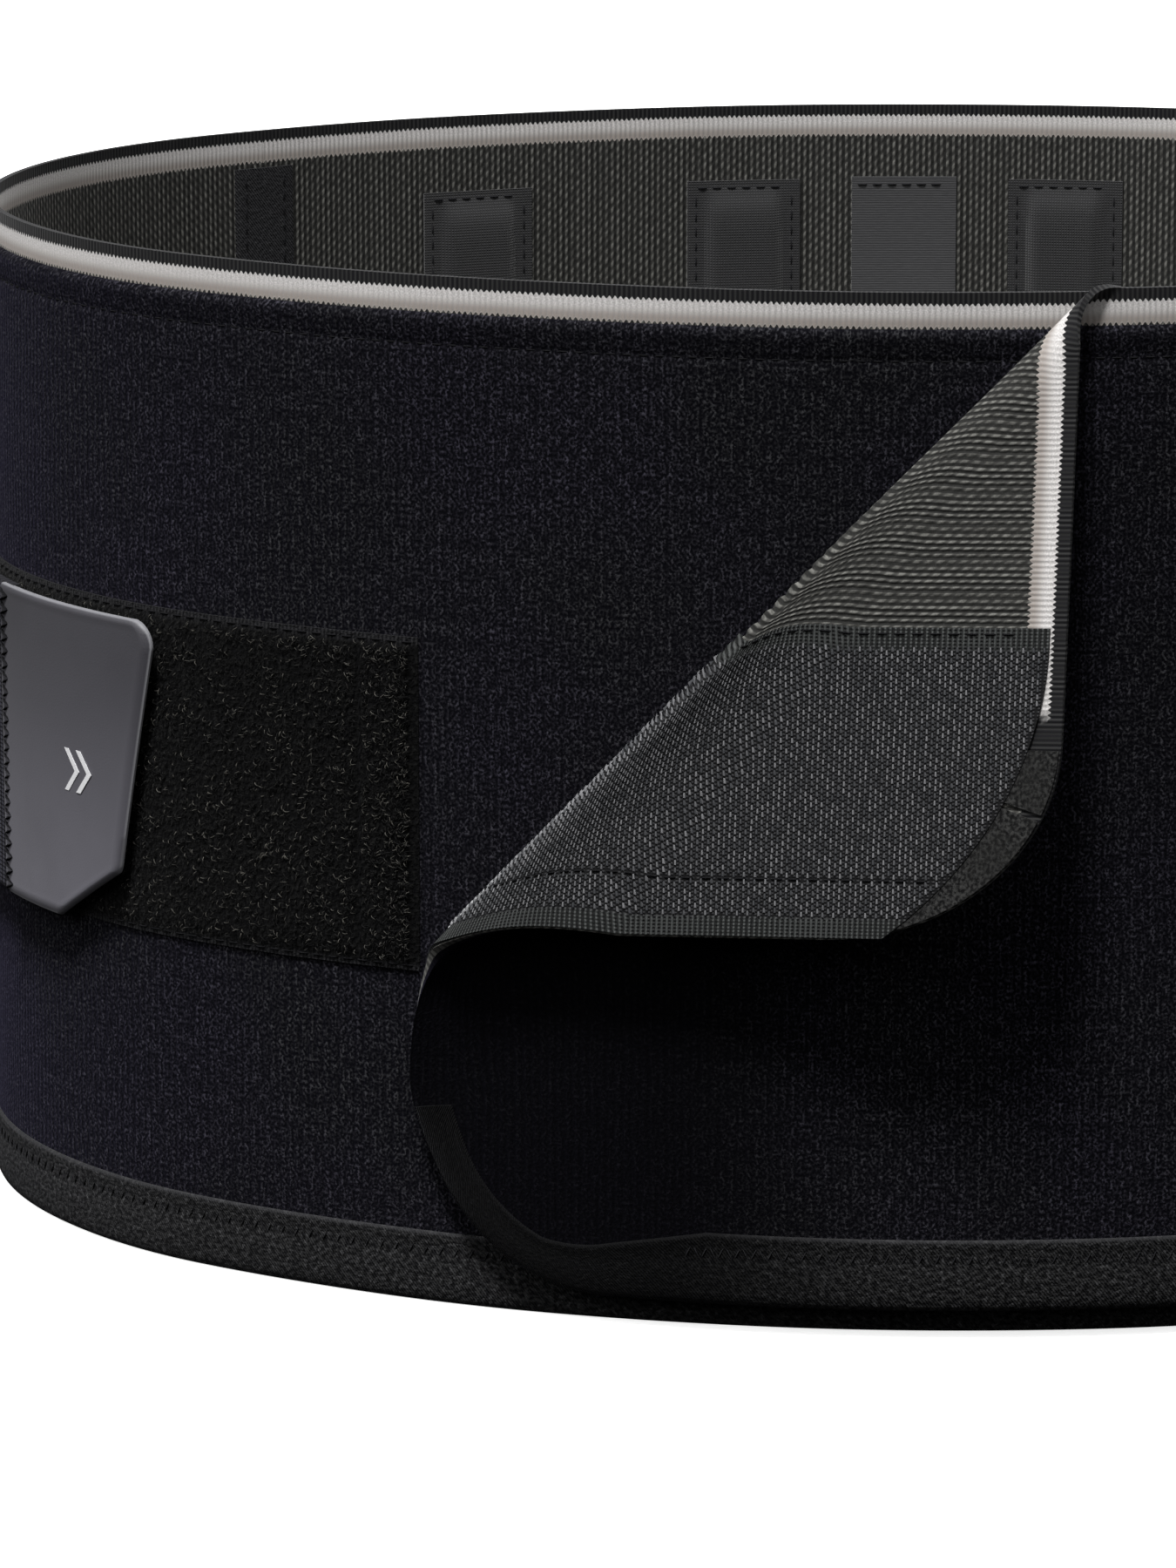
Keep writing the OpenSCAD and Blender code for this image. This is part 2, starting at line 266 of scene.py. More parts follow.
def make_object(name, verts, faces, material, uv=None, extra=None, sharp=38):
    """Mesh object from points in mm, quads, a per-point UV in mm and named point values."""
    mesh = bpy.data.meshes.new(name)
    faces = np.asarray(faces, np.int32)
    mesh.vertices.add(len(verts))
    mesh.vertices.foreach_set("co", (np.asarray(verts, float) / MM).astype(np.float32).ravel())
    mesh.loops.add(faces.size)
    mesh.loops.foreach_set("vertex_index", faces.ravel())
    mesh.polygons.add(len(faces))
    mesh.polygons.foreach_set("loop_start", np.arange(len(faces), dtype=np.int32) * 4)
    mesh.polygons.foreach_set("use_smooth", np.ones(len(faces), bool))
    mesh.update(calc_edges=True)
    if uv is not None:
        layer = mesh.uv_layers.new(name="fabric")
        layer.data.foreach_set("uv", (uv[faces.ravel()] / MM).astype(np.float32).ravel())
    for key, values in (extra or {}).items():
        attribute = mesh.attributes.new(key, "FLOAT", "POINT")
        attribute.data.foreach_set("value", np.asarray(values, np.float32).ravel())
    mesh.set_sharp_from_angle(angle=math.radians(sharp))
    ob = bpy.data.objects.new(name, mesh)
    bpy.context.scene.collection.objects.link(ob)
    mesh.materials.append(MATERIALS[material])
    return ob


def slab(name, outer, inner, material, uv, extra=None, sharp=38):
    """Closed sheet between two grids of points of the same shape."""
    rows, cols = outer.shape[:2]
    i, j = np.meshgrid(np.arange(rows - 1), np.arange(cols - 1), indexing="ij")
    a = (i * cols + j).ravel()
    quads = np.stack([a, a + 1, a + cols + 1, a + cols], -1)
    side = np.cross(outer[1:, :-1] - outer[:-1, :-1], outer[:-1, 1:] - outer[:-1, :-1])
    flip = (side * (outer - inner)[:-1, :-1]).sum() > 0
    far = rows * cols
    edge = np.concatenate([
        np.arange(cols), np.arange(1, rows) * cols + cols - 1,
        (rows - 1) * cols + np.arange(cols - 2, -1, -1), np.arange(rows - 2, 0, -1) * cols])
    nxt = np.roll(edge, -1)
    rim = np.stack([nxt, edge, edge + far, nxt + far], -1)
    faces = np.concatenate([quads, quads[:, ::-1] + far, rim])
    if flip:
        faces = faces[:, ::-1]
    verts = np.concatenate([outer.reshape(-1, 3), inner.reshape(-1, 3)])
    uv = np.concatenate([uv.reshape(-1, 2)] * 2)
    if extra:
        extra = {k: np.concatenate([v.ravel()] * 2) for k, v in extra.items()}
    return make_object(name, verts, faces, material, uv, extra, sharp)


def sheet(name, s, z, n_in, n_out, place, material, top=None, low=0.0, extra=None, sharp=38):
    """Sheet over a grid of fabric points. Its UV is s and the drop from top, or height over low."""
    v = top - z if top is not None else z - low
    return slab(name, place(s, z, n_out), place(s, z, n_in), material,
                np.stack([s, v], -1), extra, sharp)


def grid(s_values, z_values):
    return np.meshgrid(np.asarray(s_values, float), np.asarray(z_values, float))


def spread(a, b, step):
    return np.linspace(a, b, max(2, int(round(abs(b - a) / step)) + 1))


def edged(a, b, near, step, inset):
    """Positions from a to b: at distances near from both ends, and in steps between the insets."""
    near = np.array(near)
    return np.r_[a + near, spread(a + inset, b - inset, step), b - near[::-1]]


def upright(s, z0, z1, step=1.0):
    """Line up the fabric at s."""
    z = spread(z0, z1, step)
    return 0 * z + s, z


def level(z, s0, s1, step=1.0):
    """Line along the fabric at height z."""
    s = spread(s0, s1, step)
    return s, 0 * s + z


def tubes(name, paths, normals, radius, material):
    """Threads: each path is a (points, 3) array in mm with the surface normal at each point."""
    sides = 4
    turn = np.arange(sides) * 2 * math.pi / sides
    verts, faces, base = [], [], 0
    for path, normal in zip(paths, normals):
        k = len(path)
        along = unit(np.gradient(path, axis=0))
        side = unit(np.cross(along, normal))
        up = np.cross(side, along)
        taper = np.ones(k)
        taper[[0, -1]] = 0.35
        ring = (np.cos(turn)[None, :, None] * up[:, None]
                + np.sin(turn)[None, :, None] * side[:, None]) * radius * taper[:, None, None]
        verts.append((path[:, None] + ring).reshape(-1, 3))
        i, j = np.meshgrid(np.arange(k - 1), np.arange(sides), indexing="ij")
        a, b = i * sides + j, i * sides + (j + 1) % sides
        faces.append(base + np.stack([a, b, b + sides, a + sides], -1).reshape(-1, 4))
        end = (k - 1) * sides
        faces.append(base + np.array([[3, 2, 1, 0], [end, end + 1, end + 2, end + 3]]))
        base += k * sides
    return make_object(name, np.concatenate(verts), np.concatenate(faces), material, sharp=80)


def thread(place, s, z, n):
    """Path and surface normals for a thread through fabric points."""
    s, z, n = (np.asarray(v, float) for v in (s, z, n))
    path = place(s, z, n)
    return path, unit(place(s, z, n + 0.5) - path)


def zigzag(place, s_line, z_line, across_s, across_z, pitch, n_top, n_low):
    """Zigzag stitching along the line (s_line, z_line), swinging by the across vectors."""
    length = np.r_[0, np.cumsum(np.hypot(np.diff(s_line), np.diff(z_line)))]
    count = max(2, int(length[-1] / (pitch / 2)))
    at = np.linspace(0, length[-1], 2 * count + 1)
    s, z = np.interp(at, length, s_line), np.interp(at, length, z_line)
    swing = np.tile([-1.0, 0.0, 1.0, 0.0], count)[:2 * count + 1]
    n = np.where(np.abs(swing) > 0.5, n_low, n_top)
    return thread(place, s + swing * across_s, z + swing * across_z, n)


STITCH_AT = np.array([0, 0.2, 0.5, 0.8, 1.0])       # points along one stitch
STITCH_RISE = np.array([-1.4, 0.4, 1, 0.4, -1.4])   # and their heights, in lifts


def stitch_points(s_line, z_line, stitch, gap):
    """Fabric points of each separate stitch in a row along a line."""
    length = np.r_[0, np.cumsum(np.hypot(np.diff(s_line), np.diff(z_line)))]
    for start in np.arange(0, length[-1] - stitch, stitch + gap):
        at = start + stitch * STITCH_AT
        yield np.interp(at, length, s_line), np.interp(at, length, z_line)


def running(place, s_line, z_line, n, stitch=2.4, gap=0.7, lift=0.16):
    """Row of separate straight stitches along a line."""
    return [thread(place, s, z, n + lift * STITCH_RISE)
            for s, z in stitch_points(s_line, z_line, stitch, gap)]


def stitches(name, groups, material, radius=0.2):
    paths, normals = zip(*groups)
    return tubes(name, paths, normals, radius, material)


def box_faces(levels):
    """Quads of a closed four-sided tube with the given number of rings."""
    faces = [[4 * k + m, 4 * k + (m + 1) % 4, 4 * k + 4 + (m + 1) % 4, 4 * k + 4 + m]
             for k in range(levels - 1) for m in range(4)]
    end = 4 * levels - 4
    return np.array(faces + [[3, 2, 1, 0], [end, end + 1, end + 2, end + 3]])


def repeated(local, count):
    """The quads of one small form, repeated for count copies of it."""
    step = local.max() + 1
    return ((np.arange(count) * step)[:, None, None] + local).reshape(-1, 4)


def studs(name, place, s, z, n_base, height, lean, width, material):
    """Small bent hooks standing on fabric, on its inner side where height is negative."""
    s = s + rng.normal(0, 0.03, s.shape)
    z = z + rng.normal(0, 0.03, z.shape)
    tall = height * (1 + rng.uniform(-0.15, 0.15, s.shape))
    rings = []
    for along, up, wide_z, wide_s in ((0, 0, 1, 1), (0.15, 0.8, 0.85, 0.8), (1, 1, 0.6, 0.55)):
        for cs, cz in ((-1, -1), (1, -1), (1, 1), (-1, 1)):
            rings.append(place(s + lean * along + cs * width * wide_s,
                               z + cz * width * 0.55 * wide_z, n_base + tall * up))
    local = box_faces(3) if height > 0 else box_faces(3)[:, ::-1]
    return make_object(name, np.stack(rings, 1).reshape(-1, 3), repeated(local, len(s)), material,
                       sharp=50), s, z


def fibres(name, place, s, z, n_base, size, material):
    """Loose pile: short bent fibres lying every way."""
    k = len(s)
    heading = rng.uniform(0, 2 * math.pi, k)
    length = size * rng.uniform(0.6, 1.4, k)
    height = size * rng.uniform(0.25, 0.8, k)
    thick = 0.05 * rng.uniform(0.7, 1.3, k)
    rings = []
    for f, h in ((-0.5, 0.0), (-0.2, 0.8), (0.2, 1.0), (0.5, 0.35)):
        bend = 0.35 * length * (f * f)
        cs = s + np.cos(heading) * length * f - np.sin(heading) * bend
        cz = z + np.sin(heading) * length * f + np.cos(heading) * bend
        for ds, dn in ((1, 0), (-1, 0), (-0.3, 1.6), (0.3, 1.6)):
            rings.append(place(cs - np.sin(heading) * thick * ds, cz + np.cos(heading) * thick * ds,
                               n_base + h * height + thick * dn))
    return make_object(name, np.stack(rings, 1).reshape(-1, 3), repeated(box_faces(4), k), material,
                       sharp=80)


# ---- Materials ----

def feed(tree, source, socket):
    """Links a socket to another node's output, or gives it a fixed value."""
    if isinstance(source, bpy.types.NodeSocket):
        tree.links.new(source, socket)
    elif socket.type == "RGBA":
        socket.default_value = (*source, 1.0)
    else:
        socket.default_value = source


def new_node(tree, kind, *inputs, **settings):
    """Shader node with its settings, and with its first inputs fed in order."""
    node = tree.nodes.new("ShaderNode" + kind)
    for key, value in settings.items():
        setattr(node, key, value)
    for socket, source in zip(node.inputs, inputs):
        feed(tree, source, socket)
    return node


class Mat:
    """Procedural material over the fabric UV, whose u and v are in mm here."""

    def __init__(self, name, roughness=0.85, **inputs):
        self.material = bpy.data.materials.new(name)
        self.material.use_nodes = True
        self.tree = self.material.node_tree
        self.shader = self.tree.nodes["Principled BSDF"]
        self.set("Roughness", roughness)
        for key, value in inputs.items():
            self.set(key.replace("_", " "), value)
        uv = self.node("UVMap", uv_map="fabric").outputs[0]
        scaled = self.node("VectorMath", uv, (MM, MM, MM), operation="MULTIPLY").outputs[0]
        self.u, self.v, _ = self.node("SeparateXYZ", scaled).outputs
        MATERIALS[name] = self.material

    def node(self, kind, *inputs, **settings):
        return new_node(self.tree, kind, *inputs, **settings)

    def set(self, key, value):
        feed(self.tree, value, self.shader.inputs[key])

    def colour(self, value):
        self.set("Base Color", value)

    def math(self, op, a, b=0.0):
        return self.node("Math", a, b, operation=op).outputs[0]

    def add(self, a, b):
        return self.math("ADD", a, b)

    def times(self, *values):
        out = values[0]
        for value in values[1:]:
            out = self.math("MULTIPLY", out, value)
        return out

    def noise_at(self, place, scale, detail):
        node = self.node("TexNoise", place)
        node.inputs["Scale"].default_value = scale
        node.inputs["Detail"].default_value = detail
        return node.outputs[0]

    def noise(self, du, dv, detail=2.0, seed=0.0):
        """Noise with features about du by dv mm."""
        place = self.node("CombineXYZ", self.times(self.u, 1 / du), self.times(self.v, 1 / dv), seed)
        return self.noise_at(place.outputs[0], 1.0, detail)

    def object_noise(self, size, detail=2.0):
        """Noise in space with features about size mm, for pieces with no UV."""
        return self.noise_at(self.node("TexCoord").outputs["Object"], MM / size, detail)

    def island(self):
        return self.node("NewGeometry").outputs["Random Per Island"]

    def attribute(self, name):
        return self.node("Attribute", attribute_name=name).outputs["Fac"]

    def wave(self, x, pitch, phase=0.0):
        """0 to 1 sine along x."""
        angle = self.add(self.times(x, 2 * math.pi / pitch), phase)
        return self.add(self.times(self.math("SINE", angle), 0.5), 0.5)

    def ramp(self, x, low, high, out_low=0.0, out_high=1.0):
        """Soft step of x between low and high."""
        return self.node("MapRange", x, low, high, out_low, out_high,
                         interpolation_type="SMOOTHSTEP").outputs[0]

    def mix(self, factor, a, b):
        node = self.node("Mix", factor, data_type="RGBA")
        feed(self.tree, a, node.inputs[6])
        feed(self.tree, b, node.inputs[7])
        return node.outputs[2]

    def bump(self, height, distance, strength=1.0):
        node = self.node("Bump", strength, distance / MM)
        feed(self.tree, height, node.inputs["Height"])
        self.set("Normal", node.outputs[0])


def face_fabric():
    m = Mat("loop_fabric", 0.95, Sheen_Weight=0.04, Sheen_Roughness=0.5,
            Sheen_Tint=(0.35, 0.32, 0.60), Specular_IOR_Level=0.03)
    wales = m.wave(m.add(m.u, m.times(m.noise(9, 14, 1), 1.6)), 1.6)
    fuzz = m.noise(0.50, 0.64, 3)
    clump = m.noise(1.9, 2.6, 2, 4.0)
    patch = m.noise(34, 46, 3, 9.0)
    light = m.times(m.ramp(fuzz, 0.43, 0.68), m.ramp(wales, 0.1, 0.9, 0.5, 1.0),
                    m.ramp(clump, 0.35, 0.65, 0.35, 1.0))
    tint = m.mix(m.ramp(patch, 0.35, 0.7), (0.042, 0.042, 0.045), (0.045, 0.042, 0.057))
    colour = m.mix(light, (0.0020, 0.0020, 0.0028), tint)
    m.colour(m.mix(m.attribute("shade"), colour, (0.0006, 0.0006, 0.0007)))
    m.bump(m.add(m.times(fuzz, 0.9), m.times(wales, 0.30)), 0.34, 0.8)


def web_fabric():
    m = Mat("elastic_web", 0.8, Sheen_Weight=0.06, Sheen_Roughness=0.4,
            Specular_IOR_Level=0.15)
    striped = m.math("SUBTRACT", 1.0, m.attribute("plain"))
    teeth = m.wave(m.u, 1.05)
    ragged = m.add(m.times(teeth, 0.5), m.times(m.noise(0.5, 0.6, 1, 2.0), 0.4))
    drop = m.math("SUBTRACT", m.v, ragged)
    in_stripe = m.times(m.ramp(drop, 1.65, 1.85), m.ramp(drop, 5.75, 5.95, 1.0, 0.0), striped)
    below = m.ramp(drop, 5.75, 5.95)
    rib = m.wave(m.u, 1.25)
    twill = m.wave(m.add(m.v, m.u), 1.9)
    dash = m.noise(1.3, 1.6, 2, 3.0)
    glint = m.times(m.ramp(rib, 0.30, 0.90), m.ramp(twill, 0.1, 0.75, 0.30, 1.0),
                    m.ramp(dash, 0.30, 0.62, 0.35, 1.0))
    fine = m.noise(0.3, 0.3, 2, 6.0)
    charcoal = m.mix(glint, (0.012, 0.012, 0.011), (0.150, 0.148, 0.136))
    charcoal = m.mix(m.ramp(fine, 0.45, 0.9), charcoal, (0.034, 0.033, 0.032))
    warm = m.ramp(m.add(m.v, m.times(fine, 1.5)), 4.2, 6.4)
    thread = m.ramp(m.wave(m.u, 1.05, 1.0), 0.0, 0.6, 0.72, 1.0)
    stripe = m.mix(warm, (0.62, 0.60, 0.59), (0.30, 0.265, 0.24))
    stripe = m.mix(thread, (0.34, 0.33, 0.32), stripe)
    stripe = m.mix(m.ramp(fine, 0.40, 0.62, 0.40, 0.0), stripe, (0.22, 0.21, 0.20))
    selvage = m.mix(m.ramp(m.wave(m.u, 0.9), 0.2, 1.0), (0.005, 0.005, 0.006),
                    (0.022, 0.022, 0.022))
    colour = m.mix(below, selvage, charcoal)
    colour = m.mix(in_stripe, colour, stripe)
    m.colour(colour)
    knit = m.add(m.times(rib, below, 0.8), m.times(teeth, 0.5))
    m.bump(m.add(knit, m.times(twill, below, 0.4)), 0.25, 0.6)


def hem_tape():
    m = Mat("edge_binding", 0.9, Sheen_Weight=0.05, Sheen_Roughness=0.4,
            Sheen_Tint=(0.5, 0.5, 0.55), Specular_IOR_Level=0.06)
    twill = m.wave(m.add(m.u, m.times(m.v, 0.8)), 0.62)
    fine = m.noise(0.95, 0.70, 2)
    dots = m.noise(1.0, 1.0, 1, 7.0)
    # edge: painted highlight along the hem's folded upper edge
    edge = m.ramp(m.v, hem_h - 0.9, hem_h - 0.35)
    base = m.mix(m.ramp(fine, 0.40, 0.62), (0.0022, 0.0022, 0.0025), (0.026, 0.026, 0.0265))
    base = m.mix(m.times(twill, 0.35), base, (0.017, 0.017, 0.018))
    base = m.mix(m.ramp(dots, 0.58, 0.70, 0.0, 0.7), base, (0.055, 0.055, 0.057))
    # The hem's upper edge is lightened here as a painted highlight.
    base = m.mix(m.times(edge, 0.6), base, (0.030, 0.030, 0.032))
    m.colour(m.mix(m.attribute("shade"), base, (0.0008, 0.0008, 0.0009)))
    m.bump(m.add(m.times(twill, 0.4), m.times(fine, 0.9)), 0.28, 0.9)


def hook_backing():
    m = Mat("hook_tape", 0.6, Specular_IOR_Level=0.2)
    cell = m.times(m.wave(m.u, 0.68), m.wave(m.v, 0.90))
    fine = m.noise(0.4, 0.4, 2)
    rib = m.wave(m.v, 0.87)
    band_mask = m.attribute("selvage")
    field = m.mix(m.ramp(cell, 0.2, 0.8), (0.0035, 0.0035, 0.0040), (0.017, 0.017, 0.019))
    bands = m.mix(m.ramp(rib, 0.35, 0.85), (0.004, 0.0043, 0.0043), (0.046, 0.049, 0.048))
    bands = m.mix(m.ramp(fine, 0.4, 0.8, 0.0, 0.6), bands, (0.022, 0.024, 0.023))
    m.colour(m.mix(band_mask, field, bands))
    m.bump(m.add(m.times(rib, band_mask), m.times(cell, 0.5)), 0.25, 0.8)


def hook_plastic():
    m = Mat("hook_studs", 0.42, Specular_IOR_Level=0.5)
    m.colour(m.mix(m.ramp(m.island(), 0.1, 0.95), (0.050, 0.052, 0.056),
                   (0.185, 0.185, 0.192)))
    m.bump(m.object_noise(0.2), 0.05, 0.5)


def pile_ground():
    m = Mat("loop_pile", 1.0, Sheen_Weight=0.03, Specular_IOR_Level=0.04)
    tuft = m.noise(0.8, 0.9, 3, 1.0)
    big = m.noise(5, 6, 2, 5.0)
    edge = m.add(m.ramp(m.v, 0.0, 1.8, 1.0, 0.0), m.ramp(m.v, strap_h - 0.3, strap_h + 1.2))
    light = m.times(m.ramp(tuft, 0.45, 0.75), m.ramp(big, 0.3, 0.7, 0.5, 1.0))
    colour = m.mix(light, (0.0018, 0.0018, 0.0020), (0.0105, 0.0105, 0.0100))
    weave = m.wave(m.u, 0.8)
    m.colour(m.mix(edge, colour, m.mix(weave, (0.005, 0.005, 0.006),
                                       (0.018, 0.018, 0.019))))
    m.bump(m.add(tuft, m.times(big, 0.4)), 0.7, 1.0)


def pile_fibre():
    m = Mat("pile_fibre", 0.8, Specular_IOR_Level=0.12)
    m.colour(m.mix(m.ramp(m.island(), 0.60, 1.0), (0.005, 0.005, 0.005),
                   (0.085, 0.081, 0.072)))
    m.bump(m.object_noise(0.3), 0.05, 0.4)


def strap_fabric():
    m = Mat("strap_elastic", 0.85, Sheen_Weight=0.08, Sheen_Tint=(0.45, 0.44, 0.6),
            Specular_IOR_Level=0.12)
    rib = m.wave(m.u, 1.9)
    weft = m.wave(m.v, 0.8)
    fine = m.noise(0.4, 0.4, 2)
    edge = m.add(m.ramp(m.v, 0.4, 2.0, 1.0, 0.0), m.ramp(m.v, strap_h - 2, strap_h - 0.4))
    base = m.mix(m.ramp(rib, 0.3, 0.9), (0.004, 0.004, 0.0045), (0.017, 0.017, 0.019))
    base = m.mix(m.times(weft, m.ramp(fine, 0.3, 0.8), 0.5), base, (0.024, 0.024, 0.026))
    m.colour(m.mix(m.times(edge, 0.6), base, (0.012, 0.012, 0.013)))
    m.bump(m.add(rib, m.times(weft, 0.35)), 0.4, 0.9)


def tab_rubber():
    m = Mat("tab_rubber", 0.42, Specular_IOR_Level=0.35, Sheen_Weight=0.05)
    grain = m.noise(0.35, 0.35, 3)
    smudge = m.noise(16, 22, 3, 3.0)
    # The tab's colour is lighter towards its lower edge and darker towards its top.
    lighter_below = m.ramp(m.v, 0.0, strap_h, 1.0, 0.0)
    rim = m.attribute("rim")
    base = m.mix(lighter_below, (0.040, 0.039, 0.046), (0.125, 0.122, 0.142))
    base = m.mix(m.ramp(smudge, 0.3, 0.75, 0.0, 0.25), base, (0.052, 0.050, 0.060))
    m.colour(m.mix(m.ramp(rim, 0.10, 0.45, 0.75, 0.0), base, (0.22, 0.22, 0.235)))
    m.set("Roughness", m.ramp(smudge, 0.2, 0.8, 0.42, 0.56))
    m.bump(grain, 0.05, 0.5)


def tab_print():
    m = Mat("tab_mark", 0.5)
    m.colour(m.mix(m.noise(0.6, 0.6, 2), (0.62, 0.62, 0.64), (0.74, 0.74, 0.75)))
    m.bump(m.noise(0.4, 0.4, 2), 0.03, 0.4)


def label_cloth():
    m = Mat("label_tape", 0.55, Sheen_Weight=0.3)
    satin = m.wave(m.v, 0.5)
    fine = m.noise(2.0, 0.3, 2)
    m.colour(m.mix(m.ramp(fine, 0.3, 0.8), (0.036, 0.036, 0.038), (0.026, 0.026, 0.028)))
    m.bump(m.add(satin, fine), 0.06, 0.5)


def pocket_cloth():
    m = Mat("pocket_cloth", 0.9, Sheen_Weight=0.25)
    weave = m.times(m.wave(m.u, 0.55), m.wave(m.v, 0.55))
    fine = m.noise(0.6, 0.6, 2)
    m.colour(m.mix(m.ramp(weave, 0.1, 0.8), (0.006, 0.006, 0.0065),
                   m.mix(fine, (0.015, 0.015, 0.017), (0.024, 0.024, 0.026))))
    m.bump(weave, 0.15, 0.8)


def anchor_tape():
    m = Mat("anchor_tape", 0.8, Sheen_Weight=0.2)
    rib = m.wave(m.u, 1.1)
    fine = m.noise(0.5, 1.2, 2)
    m.colour(m.mix(m.ramp(rib, 0.2, 0.9), (0.008, 0.008, 0.009),
                   m.mix(fine, (0.018, 0.018, 0.020), (0.030, 0.030, 0.033))))
    m.bump(m.add(rib, m.times(fine, 0.4)), 0.25, 0.8)


def lining_cloth():
    m = Mat("corner_lining", 0.9, Sheen_Weight=0.05, Specular_IOR_Level=0.05)
    grain = m.noise(0.75, 0.60, 3)
    soft = m.noise(9, 7, 2, 2.0)
    speckle = m.mix(m.ramp(grain, 0.38, 0.66), (0.004, 0.004, 0.0042), (0.040, 0.040, 0.039))
    m.colour(m.mix(m.ramp(soft, 0.3, 0.7, 0.0, 0.5), speckle, (0.012, 0.012, 0.0115)))
    m.bump(grain, 0.2, 0.9)


def thread_material(name, dark, light):
    m = Mat(name, 0.85, Specular_IOR_Level=0.06)
    m.colour(m.mix(m.object_noise(0.8, 2.0), dark, light))
    m.bump(m.object_noise(0.25), 0.06, 0.6)


def stay_plastic():
    m = Mat("stay_plastic", 0.35, Specular_IOR_Level=0.5)
    m.colour(m.mix(m.object_noise(9, 3.0), (0.62, 0.62, 0.60), (0.74, 0.74, 0.72)))
    m.bump(m.object_noise(0.6), 0.03, 0.4)


def floor_material():
    m = Mat("floor", 0.9, Emission_Color=(1.0, 1.0, 1.0), Emission_Strength=0.75)
    m.colour(m.mix(m.object_noise(300, 2.0), (0.93, 0.93, 0.93), (0.95, 0.95, 0.95)))


for build in (face_fabric, web_fabric, hem_tape, hook_backing, hook_plastic, pile_ground,
              pile_fibre, strap_fabric, tab_rubber, tab_print, label_cloth, pocket_cloth,
              anchor_tape, lining_cloth, stay_plastic, floor_material):
    build()
thread_material("thread_black", (0.003, 0.003, 0.0035), (0.009, 0.009, 0.010))
thread_material("thread_grey", (0.008, 0.008, 0.009), (0.020, 0.020, 0.022))

# ---- How pieces ride ----

HINGE_BACK, HINGE_FRONT = 0.085, 0.050   # y between which fabric bends at the side hinges


def rides(body):
    """Attach function for a piece that rides whole on one body."""
    return lambda ob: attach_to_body(ob, body)


def bends_with(wing):
    """Attach function for fabric that bends between the back and a wing."""
    return lambda ob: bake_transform(ob, "back_panel", wing, start=(0, HINGE_BACK, 0.1),
                               end=(0, HINGE_FRONT, 0.1))


def set_weight(ob, values):
    attribute = ob.data.attributes["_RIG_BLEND"]
    attribute.data.foreach_set("value", np.asarray(values, np.float32).ravel())


def folds_with(weight):
    """Attach function for the flap and its folded corner, with a given weight per point."""
    def attach(ob):
        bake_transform(ob, "over_wing", "flap_corner", start=(0, 0, 0), end=(0, 0, 1))
        set_weight(ob, weight)
    return attach


def both_skins(values):
    return np.concatenate([values.ravel()] * 2)


def finish_piece(ob, node, attach):
    """Attaches a piece to what it rides on, and hides the CAD node it stands for."""
    attach(ob)
    if node:
        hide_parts(node)
    return ob


def sew(name, rows, attach, radius, colour="grey"):
    """Stitching as a piece of its own, attached by the given attach function."""
    finish_piece(stitches(name, rows, "thread_" + colour, radius), None, attach)


# ---- Walls: web, face fabric, hem and seams of each wing and of the back ----

SEAM_DROP = 5.6                 # from the face fabric's upper edge down to its seam


def face_edge(top):
    """Height of the face fabric's upper edge, just below the stripe."""
    return top - stripe_drop + 0.4


def face_rows(low, top):
    """Heights of a face fabric's rows: close together at its soft upper edge and its seam."""
    edge = face_edge(top)
    return np.r_[spread(low, edge - 14, 3.0)[:-1], spread(edge - 14, edge - 2.4, 0.6)[:-1],
                 edge - np.array([2.4, 1.9, 1.5, 1.1, 0.8, 0.5, 0.3, 0.15, 0.05, 0.0])]


def face_profile(z, top):
    """Outer side of the face fabric: a soft raised upper edge with a seam below it."""
    h = face_edge(top) - z
    puff = 0.38 * np.exp(-((h - 1.6) / 2.0) ** 2)
    seam = -0.30 * np.exp(-((h - SEAM_DROP) / 0.55) ** 2)
    return web_out + 0.04 + (0.96 + puff) * rounded(h / 1.3) + seam


def web_rows(low, top):
    return np.r_[spread(low, top - 12, 4.0)[:-1], spread(top - 12, top, 1.0)]


def hem_section():
    """Outer and inner skin of a folded binding: distance n, share of its width, rise in mm."""
    half = [(0.12, 1, 0), (0.46, 1, -0.15), (0.58, 1, -0.6), (0.52, 0.88, 0), (0.30, 0.733, 0),
            (0.52, 0.60, 0), (0.60, 0.41, 0), (0.55, 0, 2.6), (0.42, 0, 1.2), (0.05, 0, 0.4),
            (-0.6, 0, 0.06), (-1.1, 0, 0)]
    inside = [(-2.2 - n, share, rise) for n, share, rise in half[-2::-1]]
    outer = np.array(half + inside)
    inner = outer.copy()
    deep = np.clip(outer[:, 2], 0.54, 1.4)
    near_edge = (outer[:, 1] == 0) & (outer[:, 2] < 1.5)
    inner[:, 0] = np.where(outer[:, 0] > -1.1, 0.04, -2.24)
    inner[near_edge, 0] = np.clip(outer[near_edge, 0], -1.9, -0.3)
    inner[near_edge, 2] = deep[near_edge]
    return outer, inner


def hem_grids(place, s, z, toward_s, toward_z, width):
    """Skins and UV of a hem along the edge (s, z), reaching inwards by width."""
    grids = []
    for skin in hem_section():
        h = skin[:, 1:2] * width[None, :] + skin[:, 2:3]
        sg, zg = s + toward_s * h, z + toward_z * h
        grids.append((place(sg, zg, skin[:, :1] + 0 * h), sg, zg, h))
    outer, sg, zg, h = grids[0]
    run = s[0] + np.r_[0, np.cumsum(np.hypot(np.diff(s), np.diff(z)))]
    uv = np.stack([run[None, :] + 0 * h, h * hem_h / width], -1)
    return outer, grids[1][0], uv, sg, zg


def hem_zigzags(place, s0, s1, low):
    """Zigzag stitching along a hem, on its outer and its inner side."""
    line = level(low + hem_h - 3.6, s0, s1)
    return [zigzag(place, *line, 0.0, 1.5, 3.0, n, n - 0.3) for n in (0.50, -2.80)]


